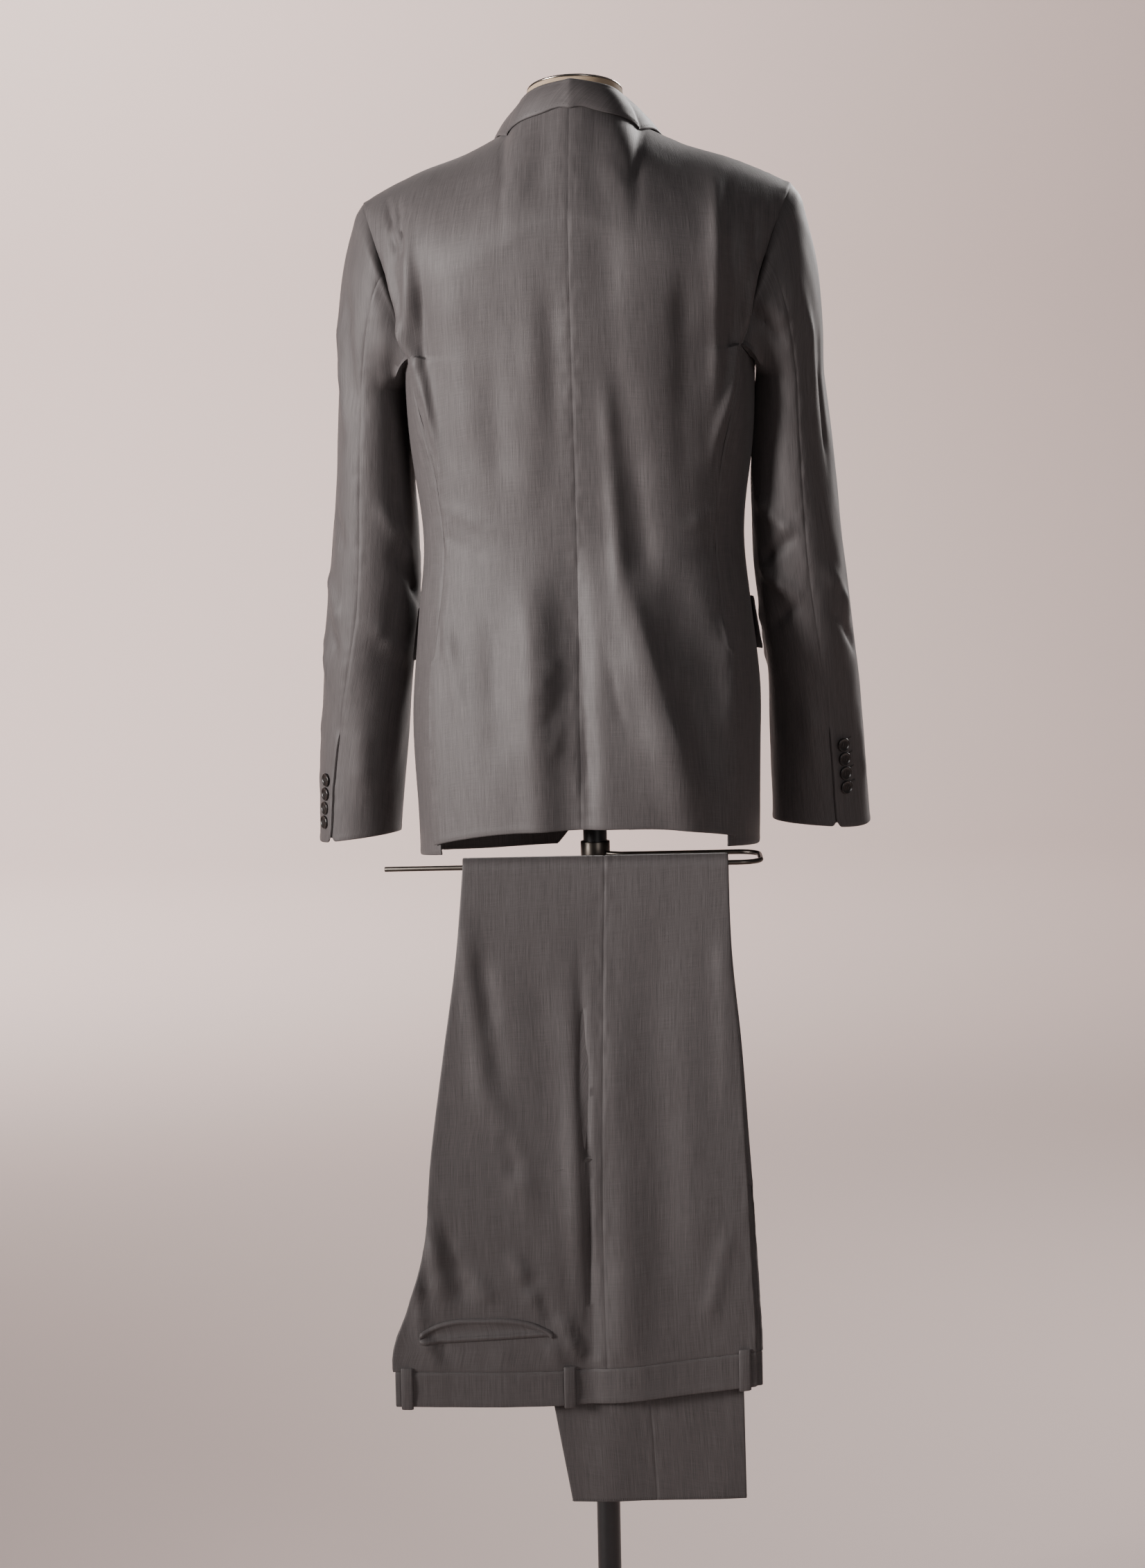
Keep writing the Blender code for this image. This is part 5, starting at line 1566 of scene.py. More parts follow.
    def sleeve(self, hand: Hand) -> None:
        """The top sleeve over the shoulder and the under sleeve below the arm.

        Args:
            hand: The wearer's side.
        """
        cut = self.cut
        rows = spaced([(0, 0), (1, 0.170), (2, 0.628)], self.step)
        creases = self.sleeve_creases(hand)

        def relief(points: Array, i: Array, k: Array) -> Array:
            """Drape of the sleeve, with the vent's edge standing up a little.

            Args:
                points: The grid of points.
                i: Places round the ring of sixteen.
                k: From the armhole (0) over the cap (1) to the cuff (2).

            Returns:
                The push at each place, in metres.
            """
            fade = smooth(k / 0.12) * smooth((2 - k) / 0.10)
            around = i * 0.020
            soft = 0.0007 * ripple(points, 0.070, 41) + 0.0002 * ripple(points, 0.024, 42)
            vent = 0.0021 * bell((i - 4.0) * 0.02, 0.007) * smooth((0.985 - points[..., 2]) / 0.02)
            cap = -0.0009 * bell(k, 0.06) + 0.0016 * bell(k - 0.10, 0.07)
            cap = cap * smooth((1 + np.cos(2 * np.pi * i / 16)) / 1.2)
            bumps = crease_depth(creases, around, points[..., 2])
            return fade * (bumps + soft) + np.where(i <= 4, vent, 0) + cap

        def shaped(i: Array, k: Array) -> Array:
            """The sleeve, with its cuff cut up from the vent and a notch at the vent's foot.

            Args:
                i: Places round the ring of sixteen.
                k: From the armhole (0) over the cap (1) to the cuff (2).

            Returns:
                The points.
            """
            point = cut.sleeve(hand, i, k)
            notch = 0.0045 * bell(i - 4.0, 0.13) * smooth((k - 1.975) / 0.02)
            rise = 0.0075 * smooth((4.0 - i) / 5) * smooth((k - 1.80) / 0.2) * (i < 4)
            return point + np.stack([0 * i, 0 * i, notch + rise], -1)

        edges = (Edge.SEAM, Edge.SEAM, Edge.SEAM, Edge.FREE)
        for kind, first, last in (("top_sleeve", -4, 4), ("under_sleeve", 4, 12)):
            places = spaced([(first, 0), (last, 0.175)], self.step)
            hint = (hand.value, 0, 0) if kind == "top_sleeve" else (-hand.value, 0, 0)
            cloth = Cloth(f"{kind}_cloth_{hand.word}", shaped, places, rows, hint, edges,
                          relief, lined=True, sample=(0.8, 0.5))
            self.lay(cloth, f"{kind}_{hand.word}")

    def collar_and_lapels(self) -> None:
        """The folded collar, pick-stitched along its edge, and the two lapels."""
        def collar_relief(points: Array, u: Array, v: Array) -> Array:
            """The collar's slight unevenness."""
            return 0.00025 * ripple(points, 0.035, 51) * smooth(v / 0.3) * smooth((1 - np.abs(u)) / 0.1)

        def lapel_relief(points: Array, u: Array, v: Array) -> Array:
            """The lapel's slight unevenness."""
            return self.front_drape(points) + 0.0002 * ripple(points, 0.045, 52) * smooth(v / 0.05)

        free = (Edge.FREE,) * 4
        around = spaced([(-1, 0), (1, 0.430)], 0.004)
        down = spaced([(0, 0), (1, 0.034), (2, 0.042), (3, 0.056)], 0.0016)
        cloth = Cloth("collar_cloth", self.cut.collar, around, down, (0, -1, 0), free, collar_relief,
                      sample=(0.2, 0.5), thickness=0.0018)
        self.lay(cloth, "collar")
        self.picked.add(cloth.line(False, False, 0.0028))
        for hand in Hand:
            cloth = Cloth("lapel_cloth_" + hand.word, lambda u, v, h=hand: self.cut.lapel(h, u, v),
                          spaced([(0, 0), (1, 0.075)], 0.004), spaced([(0, 0), (1, 0.345)], 0.004),
                          (0, 1, 0), free, lapel_relief)
            self.lay(cloth, "lapel_" + hand.word)
            self.picked.add(cloth.line(True, True, 0.0028)[12:-4])
            if hand is Hand.LEFT:
                rows, columns = cloth.outer.shape[:2]
                j, i0, i1 = int(0.86 * rows), int(0.55 * columns), int(0.86 * columns)
                line = cloth.outer[j, i0:i1] + cloth.normals[j, i0:i1] * 0.0002
                self.holes.add(line, cloth.outer[j + 2, i0] - cloth.outer[j, i0])

    def flaps(self) -> None:
        """The hip pockets' flaps."""
        for hand in Hand:
            cloth = Cloth("hip_flap_cloth_" + hand.word, lambda u, v, h=hand: self.cut.flap(h, u, v),
                          spaced([(0, 0), (1, 0.125)], 0.004), spaced([(0, 0), (1, 0.053)], 0.004),
                          (hand.value, 0.2, 0), (Edge.FREE,) * 4, lambda p, u, v: self.front_drape(p),
                          thickness=0.0018)
            self.lay(cloth, "hip_flap_" + hand.word)

    def place_on(self, surface: Surface, u: float, v: float, centre: Array, out: float) -> Matrix:
        """A frame on a surface whose Z axis faces away from a centre.

        Args:
            surface: The surface.
            u: First parameter.
            v: Second parameter.
            centre: A point on the inner side.
            out: Distance out from the surface.

        Returns:
            The frame.
        """
        a, b = np.array([u]), np.array([v])
        point, normal = surface(a, b)[0], normal_of(surface, a, b, 1e-3)[0]
        normal = normal if np.dot(normal, point - centre) > 0 else -normal
        return Matrix.Translation(Vector(point + normal * out)) @ aimed(normal)

    def buttons(self) -> None:
        """Two front buttons and four on each cuff, each of those with its buttonhole beside it."""
        cut, button, small = self.cut, Button(self.front_button), Button(self.cuff_button)
        for k in range(2):
            z = self.front_button_z - k * self.front_button_pitch
            y = float(cut.depth_at(np.array(0.0), np.array(z), "front"))
            point = cut.hang(np.array(0.0), np.array(y), np.array(z))
            place = Matrix.Translation(Vector(point) + Vector((0, 0.0014, 0))) @ aimed((0, 1, 0))
            button.build(f"front_button_horn_{k + 1}", place, f"front_button_{k + 1}")
        top = {Hand.LEFT: 0.937, Hand.RIGHT: 0.957}
        angle = {Hand.LEFT: 39.0, Hand.RIGHT: 57.0}
        for hand in Hand:
            surface = lambda i, k, h=hand: cut.sleeve(h, i, k)
            spread = (angle[hand] + cut.cuff_twist[hand]) / 78 * 4
            for k in range(4):
                z = top[hand] - k * self.button_pitch
                level = self.fall(z)
                ring = cut.arm_ring(hand, np.array([0.0, 8.0]), np.array([z, z])).mean(0)
                centre = cut.hang(*ring)
                place = self.place_on(surface, spread, level, centre, 0.0017)
                name = f"cuff_button_{hand.word}_{k + 1}"
                small.build(name.replace("button", "horn_button"), place, name)
                self.buttonhole(surface, spread, z + 0.0045, centre)

    def fall(self, z: float) -> float:
        """How far down the sleeve a height lies, from the cap (1) to the cuff (2)."""
        return 1 + (z - self.cut.cap_level) / (self.cut.cuff_level - self.cut.cap_level)

    def buttonhole(self, surface: Surface, spread: float, z: float, centre: Array) -> None:
        """Adds the threads of one cuff buttonhole, above and outside its button.

        Args:
            surface: The surface.
            spread: Place round the ring.
            z: Heights.
            centre: A point on the inner side.
        """
        line = []
        for t in (n / 8 for n in range(9)):
            level = self.fall(z + 0.0035 * t)
            place = self.place_on(surface, spread - 0.18 - 0.56 * t, level, centre, 0.0011)
            line.append(place.translation)
        self.holes.add(np.array(line), (0.0, 0.0, 1.0))

    def sewing(self) -> tuple[bpy.types.Object, bpy.types.Object]:
        """The pick stitches and the buttonholes' threads."""
        picked, holes = self.picked.build(), self.holes.build()
        return dress(picked, "worsted"), dress(holes, "button_horn")

    def build(self) -> None:
        for hand in Hand:
            self.body(hand)
            self.sleeve(hand)
        self.collar_and_lapels()
        self.flaps()
        self.buttons()
        picked, holes = self.sewing()
        panels = [self.pieces[node][1].name for node in ("back_left", "front_left")]
        for node, (cloth, piece) in self.pieces.items():
            hung = node.startswith(("back", "front", "side"))
            rests = ["form_cloth_body"] if hung else panels
            extra = [picked] if node == "collar" else [holes] if node == "top_sleeve_left" else []
            cloth.declare(piece, "hung" if hung or "sleeve" in node else "laid", rests, extra)


@dataclass
class Trousers(Garment):
    """The trousers, flattened along their creases and folded over the bar, waist down in front."""

    rod_radius: float = 0.0025
    bar_z: float = 0.8550
    bar_y: float = -0.0990
    bar_gap: float = 0.0003
    middle: float = 0.00385
    crotch_drop: float = 0.285
    fork_run: float = 0.075
    waistband: float = 0.0345
    step: float = 0.0046
    near_length: float = 0.5070
    band_back: float = 0.2130
    band_front: float = 0.1510
    right_extra: float = 0.006

    @property
    def layers(self) -> dict[str, float]:
        """Distances of the four layers out from the bar."""
        return {"right_out": 0.0009, "right_in": 0.0027, "left_in": 0.0050, "left_out": 0.0068}

    @property
    def hem_drop(self) -> dict[Hand, float]:
        """How far each leg's hem hangs below the bar on the far side."""
        return {Hand.LEFT: 0.632, Hand.RIGHT: 0.646}

    @property
    def near(self) -> Table:
        """Back edge, outseam and front edge at drops on the near side."""
        return Table("at back seam front", [
            (0.000, -0.1310, 0.0087, 0.1305), (0.090, -0.1400, 0.0060, 0.1320),
            (0.185, -0.1545, 0.0034, 0.1385), (0.285, -0.1690, 0.0010, 0.1425),
            (0.380, -0.1790, 0.0000, 0.1465), (0.440, -0.1960, 0.0005, 0.1490),
            (0.490, -0.2130, 0.0010, 0.1510), (0.550, -0.2100, 0.0020, 0.1500)])

    @property
    def far(self) -> Table:
        """Back edge, outseam and front edge at drops on the far side."""
        return Table("at back seam front", [
            (0.000, -0.1310, 0.0087, 0.1305), (0.200, -0.1080, 0.0180, 0.1330),
            (0.400, -0.0760, 0.0330, 0.1360), (0.560, -0.0500, 0.0450, 0.1380),
            (0.660, -0.0330, 0.0500, 0.1390)])

    @property
    def waist(self) -> Table:
        """Drop of the waist seam across the near side."""
        return Table("at height", [(-0.22, 0.506), (-0.10, 0.5085), (0.0, 0.5070), (0.16, 0.4915)])

    creases: tuple[Crease, ...] = creased(
        (-0.018, 0.05, -0.010, 0.60, 0.0050, -0.0070, 0.6), (0.016, 0.10, 0.018, 0.58, 0.014, 0.0036, 1.5),
        (-0.030, 0.08, -0.023, 0.56, 0.009, 0.0034, 1.6), (-0.062, 0.05, -0.048, 0.34, 0.016, -0.0018),
        (-0.136, 0.02, -0.112, 0.27, 0.009, 0.0034, 1.4), (-0.116, 0.20, -0.064, 0.38, 0.010, 0.0036, 1.4),
        (-0.104, 0.24, -0.074, 0.35, 0.008, -0.0030), (-0.120, 0.06, -0.096, 0.24, 0.010, -0.0032),
        (-0.096, 0.38, -0.056, 0.46, 0.007, 0.0042), (-0.084, 0.40, -0.046, 0.47, 0.006, -0.0032),
        (-0.176, 0.33, -0.160, 0.46, 0.007, 0.0048, 1.4), (-0.190, 0.39, -0.182, 0.49, 0.006, 0.0040),
        (-0.160, 0.35, -0.136, 0.45, 0.008, -0.0030), (-0.134, 0.40, -0.110, 0.445, 0.007, 0.0026),
        (-0.184, 0.462, -0.160, 0.520, 0.006, 0.0030), (-0.168, 0.470, -0.150, 0.515, 0.005, -0.0024),
        (-0.104, 0.478, -0.098, 0.530, 0.008, 0.0022), (-0.058, 0.470, -0.040, 0.520, 0.006, 0.0034),
        (-0.046, 0.44, -0.012, 0.54, 0.007, 0.0044), (-0.032, 0.45, -0.012, 0.53, 0.005, -0.0030),
        (0.054, 0.06, 0.060, 0.46, 0.020, -0.0018), (0.086, 0.12, 0.088, 0.50, 0.016, 0.0015),
        (0.124, 0.03, 0.126, 0.26, 0.009, 0.0020), (0.128, 0.36, 0.100, 0.47, 0.008, 0.0026),
    )
    floor: float = -0.0058
    folds: tuple[Fold, ...] = (Fold(-0.024, 0.34, -0.016, 0.60, 0.018, -0.0050, 0),
                               Fold(0.032, 0.34, 0.028, 0.60, 0.024, 0.0030, 0))

    def push(self, x: Array, drop: Array) -> Array:
        """How far the near side's folds stand out.

        Args:
            x: Distances across.
            drop: Distances down from the bar.

        Returns:
            The push at each place, in metres.
        """
        spots = np.stack([x, 0 * x, drop + 0 * x], -1)
        soft = (0.0010 + 0.0004 * ripple(spots, 0.075, 61)) * smooth(drop / 0.05)
        flat = 1 - 0.85 * smooth((drop - 0.484) / 0.024)
        sharp = crease_depth(self.creases, x, drop) * smooth(drop / 0.04) * flat
        whole = fold_depth(self.folds, x, drop) + sharp + soft
        return self.floor + 0.001 * np.logaddexp(0, (whole - self.floor) / 0.001)

    def drape(self, x: Array, t: Array, near_drop: Array, far_drop: float, layer: Array) -> Array:
        """Places on the draped stack.

        Args:
            x: Places across.
            t: From the near end (-1) to the bar (0 to 1) and the far end (2).
            near_drop: Length of the near side.
            far_drop: Length of the far side.
            layer: Distance out from the bar.

        Returns:
            The points.
        """
        radius = self.rod_radius + self.bar_gap + layer
        drop_near, drop_far = np.maximum(-t, 0) * near_drop, np.maximum(t - 1, 0) * far_drop
        angle = np.pi * np.clip(t, 0, 1)
        push = np.where(t < 0, self.push(x, drop_near), 0)
        spots = np.stack([x, 0 * x, drop_far + 0 * x], -1)
        ease = 0.0010 * ripple(spots, 0.080, 62) * smooth(drop_far / 0.08)
        y = self.bar_y - radius * np.cos(angle) - push + np.where(t > 1, ease, 0)
        return np.stack([x, y, self.bar_z + radius * np.sin(angle) - drop_near - drop_far], -1)

    def leg(self, hand: Hand, half: str, w: Array, t: Array) -> Array:
        """A leg's panel: w from the outseam (0) to the crease (1 to 2) and the inseam (3).

        Args:
            hand: The wearer's side.
            half: "back" or "front".
            w: From the outseam (0) to the crease (1 to 2) and the inseam (3).
            t: From the near end (-1) over the bar (0 to 1) to the far end (2).

        Returns:
            The points.
        """
        near = t < 0
        place = np.where(near, -t * self.near_length, np.maximum(0, t - 1) * self.hem_drop[hand])
        before = t < 0.5
        edge = np.where(before, self.near.read(place, half), self.far.read(place, half))
        seam = np.where(before, self.near.read(place, "seam"), self.far.read(place, "seam"))
        way = -1 if half == "back" else 1
        outer = np.full(w.shape, self.layers[hand.word + "_out"])
        inner = np.full(w.shape, self.layers[hand.word + "_in"])
        if hand is Hand.RIGHT and half == "front":
            edge = edge + np.where(before, 0.006 * smooth(place / 0.45), 0)
        fork = np.where(near, smooth((place - self.crotch_drop) / self.fork_run), 0)
        close = np.where(near, smooth((place - self.crotch_drop - self.fork_run) / (0.6 * self.fork_run)), 0)
        share = np.maximum(w - 1, 0) / 2
        even = 1 - (1 - share) ** 0.617
        w = np.where(w > 1, 1 + 2 * share * (1 - fork) + 0.5 * even * fork, w)
        gap = 0.0001 if hand is Hand.LEFT else -0.0001
        inner = inner + (2 * (self.middle + gap) - outer - inner) * close
        thin = 1 - 0.42 * close
        outer, inner = self.middle + (outer - self.middle) * thin, self.middle + (inner - self.middle) * thin
        turn = np.abs(outer - inner) / 2
        bend = edge - way * turn
        angle = np.pi * np.clip(w - 1, 0, 1)
        x = np.where(w <= 1, seam + (bend - seam) * w,
                     np.where(w <= 2, bend + way * turn * np.sin(angle), bend + (seam - bend) * (w - 2)))
        round_fold = (outer + inner) / 2 + (outer - inner) / 2 * np.cos(angle)
        layer = np.where(w <= 1, outer, np.where(w <= 2, round_fold, inner))
        return self.drape(x, t, self.waist.read(x, "height"), self.hem_drop[hand], layer)

    def band_width(self, hand: Hand) -> float:
        """Width of a half of the waistband; the right one reaches further forward."""
        return self.band_front + (self.right_extra if hand is Hand.RIGHT else 0.0) + self.band_back - 0.004

    def way(self, hand: Hand) -> int:
        """The side of the stack that a leg's outer cloth faces, by the sign of Y."""
        return -1 if hand is Hand.LEFT else 1

    def band(self, hand: Hand, u: Array, v: Array) -> Array:
        """The waistband: u from the back edge (0) to the front edge (1), v down its height.

        Args:
            hand: The wearer's side.
            u: First parameter of the surface.
            v: Second parameter of the surface.

        Returns:
            The points.
        """
        layer = self.middle + (self.layers[hand.word + "_out"] - self.middle) * 0.62
        x = -self.band_back + 0.003 + u * self.band_width(hand)
        top = self.waist.read(x, "height")
        radius = self.rod_radius + self.bar_gap + layer
        y = self.bar_y - radius - self.push(x, top)
        return np.stack([x, y, self.bar_z - top - 0.0003 - v * self.waistband], -1)

    def legs(self) -> None:
        """The four panels."""
        rows = spaced([(-1, 0), (0, 0.507), (1, 0.525), (2, 1.165)], self.step)
        outer = spaced([(0, 0), (1, 0.165)], self.step)[:-3]
        places = np.concatenate([outer, [1, 1.2, 1.4, 1.6, 1.8, 2], np.linspace(2.1, 3, 12)])
        for hand in Hand:
            for half in ("back", "front"):
                cloth = Cloth(f"{half}_leg_cloth_{hand.word}",
                              lambda w, t, h=hand, f=half: self.leg(h, f, w, t),
                              places, rows, (0, self.way(hand), 0),
                              (Edge.SEAM, Edge.SEAM, Edge.SEAM, Edge.RAW), thickness=0.0011,
                              sample=(0.2, 0.2))
                self.lay(cloth, f"trouser_{half}_{hand.word}")

    def waistbands(self) -> None:
        """The two halves of the waistband and the belt loops."""
        for hand in Hand:
            cloth = Cloth("waistband_cloth_" + hand.word, lambda u, v, h=hand: self.band(h, u, v),
                          spaced([(0, 0), (1, 0.36)], 0.004), spaced([(0, 0), (1, self.waistband)], 0.004),
                          (0, self.way(hand), 0), (Edge.FREE, Edge.FREE, Edge.SEAM, Edge.FREE),
                          thickness=0.0018)
            self.lay(cloth, "waistband_" + hand.word)
        loops = {"belt_loop_back": (Hand.LEFT, -0.1990), "belt_loop_side_left": (Hand.LEFT, -0.0360),
                 "belt_loop_front_left": (Hand.LEFT, 0.1390), "belt_loop_side_right": (Hand.RIGHT, -0.0360),
                 "belt_loop_front_right": (Hand.RIGHT, 0.1390)}
        for node, (hand, x) in loops.items():
            width, way = self.band_width(hand), self.way(hand)
            share, half = (x + 0.2100) / width, 0.0107 / 2 / width

            def loop(u: Array, v: Array, h: Hand = hand, s: float = share, f: float = half,
                     w: int = way) -> Array:
                """A belt loop, bowed off the band between its two ends.

                Args:
                    u: First parameter of the surface.
                    v: Second parameter of the surface.
                    h: The wearer's side.
                    s: Middle of the loop across the band.
                    f: Half of its width.
                    w: The way out, by the sign of Y.

                Returns:
                    The points.
                """
                point = self.band(h, s + f * u, -0.12 + 1.2 * v)
                out = 0.0019 + 0.0016 * np.sin(np.pi * np.clip(v, 0, 1)) - 0.0003 * u**4
                return point + np.stack([0 * out, w * out, 0 * out], -1)

            cloth = Cloth(node + "_cloth", loop, np.linspace(-1, 1, 9), spaced([(0, 0), (1, 0.042)], 0.003),
                          (0, way, 0), (Edge.FREE,) * 4)
            self.lay(cloth, node)

    def pockets(self) -> None:
        """The back pockets: two jets, the upper one sagging away from the lower, over a facing."""
        for hand in Hand:
            way = self.way(hand)
            layer = self.middle + (self.layers[hand.word + "_out"] - self.middle) * 0.58

            def spot(x: Array, drop: Array, out: float, lay: float = layer, w: int = way) -> Array:
                """A place laid on the leg's cloth.

                Args:
                    x: Distances across.
                    drop: Distances down from the bar.
                    out: Distance out from the surface.
                    lay: Distance of the cloth from the bar.
                    w: The way out, by the sign of Y.

                Returns:
                    The points.
                """
                y = self.bar_y - self.rod_radius - self.bar_gap - lay - self.push(x, drop)
                y = y + w * (0.0011 + out)
                return np.stack([x, y, self.bar_z - drop], -1)

            def jets(u: Array, v: Array) -> Array:
                """Both jets as one strip: v down the upper jet, the facing and the lower jet.

                Args:
                    u: First parameter of the surface.
                    v: Second parameter of the surface.

                Returns:
                    The points.
                """
                x = -0.119 + 0.066 * u
                arch, jet = 1 - np.abs(u) ** 3.2, 0.0052
                upper = 0.4680 - 0.0150 * arch + 0.0010 * u
                lower = 0.4700 - 0.0030 * u
                facing = upper + jet + (lower - upper - jet) * (v - 1)
                drop = np.where(v < 1, upper + jet * v, np.where(v < 2, facing, lower + 0.0050 * (v - 2)))
                drop = np.maximum(drop, upper + 0.0040 * np.minimum(v, 1))
                hollow = np.where(v < 2, -0.8 * np.sin(np.pi * (v - 1)), np.sin(np.pi * (v - 2)))
                ridge = np.where(v < 1, np.sin(np.pi * v), hollow)
                return spot(x, drop, 0.0) + np.stack([0 * x, way * (0.0002 + 0.0012 * ridge), 0 * x], -1)

            cloth = Cloth("back_pocket_cloth_" + hand.word, jets, spaced([(-1, 0), (1, 0.132)], 0.003),
                          np.concatenate([np.linspace(*r) for r in ((0, 1, 8), (1.15, 1.85, 6), (2, 3, 8))]),
                          (0, way, 0), (Edge.FREE,) * 4, thickness=0.0009)
            self.lay(cloth, "back_pocket_jets_" + hand.word)

    def overcasting(self) -> bpy.types.Object:
        """Overcast stitches on the legs' raw hems.

        Returns:
            The stitches.
        """
        runs = StitchRuns("hem_overcasting", 0.0022, 0.0032, 0.00022, THREAD)
        for half in ("back", "front"):
            for hand in Hand:
                line = self.pieces[f"trouser_{half}_{hand.word}"][0].line(False, True, 0.0012)
                runs.add(line[3:-3], (0.25, 0.0, 1.0))
        return dress(runs.build(), "worsted")

    def build(self) -> None:
        self.legs()
        self.waistbands()
        self.pockets()
        sewn = self.overcasting()
        for node, (cloth, piece) in self.pieces.items():
            folded = node.startswith("trouser")
            rests = ["trouser_bar_rod"] if folded else [self.pieces["trouser_back_left"][1].name]
            extra = [sewn] if node == "trouser_back_right" else []
            cloth.declare(piece, "folded" if folded else "laid", rests, extra)


def tube(name: str, rings: Sequence[Array], finish: object, sharp: float = 40.0,
         uv_scale: Optional[tuple[float, float]] = None) -> bpy.types.Object:
    """A closed body through rings of points, with flat ends.

    Args:
        name: The object's name.
        rings: Rings with the same number of points.
        finish: Its finish.
        sharp: Angle in degrees past which an edge is sharp.
        uv_scale: Size of the flat piece round and along, where the finish reads it.

    Returns:
        The object.
    """
    count, sides = len(rings), len(rings[0])
    vertices = np.concatenate(rings)
    index = np.arange(count * sides).reshape(count, sides)
    following = np.roll(index, -1, axis=1)
    skin = np.stack([index[:-1], following[:-1], following[1:], index[1:]], -1).reshape(-1, 4)
    centre = vertices.mean(0)
    a, b, c = (vertices[skin[:, k]] for k in range(3))
    volume = np.sum(np.cross(b - a, c - a) * (a - centre))
    faces = [list(f) for f in skin] + [list(index[0])[::-1], list(index[-1])]
    if volume < 0:
        faces = [f[::-1] for f in faces]
    uv = None
    if uv_scale:
        around, along = np.meshgrid(np.linspace(0, uv_scale[0], sides), np.linspace(0, uv_scale[1], count))
        uv = np.stack([around, along], -1).reshape(-1, 2)
    return link_mesh(name, vertices, faces, [finish], uv=uv, sharp=sharp)


def lathe(profile: Sequence[tuple[float, float]], sides: int,
          place: Matrix = Matrix.Identity(4)) -> list[Array]:
    """Rings of a solid of revolution about Z through (radius, height) pairs, put in a place.

    Args:
        profile: Radius and height of each ring.
        sides: Points of a ring.
        place: Where it stands.

    Returns:
        The rings.
    """
    angles = 2 * np.pi * np.arange(sides) / sides
    turned = []
    for radius, height in profile:
        ring = np.stack([radius * np.cos(angles), radius * np.sin(angles), np.full(sides, height)], -1)
        turned.append(ring @ np.array(place.to_3x3()).T + np.array(place.translation))
    return turned


@dataclass
class DressForm:
    """The limbless form: cloth over a smooth bust, with a metal cap on its neck."""

    cut: JacketCut = field(default_factory=JacketCut)
    bottom: float = 0.962
    cap_tilt: float = math.radians(17.0)
    sides: int = 112
    rows: int = 110

    @property
    def sections(self) -> Table:
        """Half width, depths and tilt of the form at heights."""
        return Table("at half_width back front tilt", [
            (0.9620, 0.120, 0.088, 0.084, 0), (0.9700, 0.128, 0.094, 0.090, 0),
            (1.0200, 0.134, 0.098, 0.093, 0), (1.1000, 0.128, 0.088, 0.090, 0),
            (1.1700, 0.122, 0.080, 0.089, 0), (1.2500, 0.134, 0.088, 0.096, 0),
            (1.3300, 0.146, 0.100, 0.103, 0), (1.4000, 0.157, 0.106, 0.099, 0),
            (1.4600, 0.172, 0.104, 0.088, 0), (1.4950, 0.183, 0.090, 0.072, 0),
            (1.5140, 0.1865, 0.072, 0.056, 0), (1.5271, 0.1820, 0.044, 0.037, 0),
            (1.5419, 0.1500, 0.041, 0.034, 0), (1.5561, 0.1080, 0.041, 0.034, 0),
            (1.5645, 0.0860, 0.043, 0.034, 0), (1.5722, 0.0605, 0.043, 0.034, 0.1),
            (1.5880, 0.051, 0.050, 0.040, 0.5), (1.6130, 0.0475, 0.050, 0.042, 1)])

    def ring(self, at: float) -> Array:
        """A ring of the form's surface.

        Args:
            at: Height of the ring before its tilt.

        Returns:
            Its points.
        """
        angle = 2 * np.pi * (np.arange(self.sides) + 0.5) / self.sides
        half, back, front, tilt = (float(self.sections.read(np.array(at), c)) for c in
                                   ("half_width", "back", "front", "tilt"))
        x = half * power(np.sin(angle), 2 / 2.2)
        y = -np.where(np.cos(angle) > 0, back, front) * power(np.cos(angle), 2 / 2.2)
        groove = 0.0004 * np.exp(-((x / 0.0035) ** 2)) * np.sign(y)
        level = 1 - float(smooth(np.array((at - self.bottom) / 0.04)))
        rise = -math.tan(self.cap_tilt * tilt) * y - self.cut.shoulder_tilt * x * level
        return self.cut.hang(x, y - groove, at + rise)

    def build(self) -> None:
        """Builds the form and its cap."""
        heights = np.concatenate([np.linspace(0.962, 0.97, 5), np.linspace(0.976, 1.50, 70),
                                  np.linspace(1.506, 1.613, self.rows - 70)])
        body = tube("form_cloth_body", [self.ring(at) for at in heights], FORM_CLOTH, 50, (0.95, 0.66))
        dress(body, "form_cloth", "form_body")
        middle_y = (0.042 - 0.050) / 2
        top = 1.6130 - math.tan(self.cap_tilt) * middle_y
        middle = self.cut.hang(np.array(0.0), np.array(middle_y), np.array(top))
        place = Matrix.Translation(Vector(middle)) @ Matrix.Rotation(-self.cap_tilt, 4, "X")
        profile = [(0.0440, 0.0004), (0.0466, 0.0006), (0.0473, 0.0011), (0.0475, 0.0018), (0.0473, 0.0026),
                   (0.0466, 0.0032), (0.0450, 0.0036), (0.0430, 0.0040), (0.0360, 0.0060), (0.0180, 0.0077),
                   (0.0060, 0.0081)]
        dress(tube("neck_cap_metal", lathe(profile, 96, place), CAP_METAL), "cap_metal", "neck_cap")


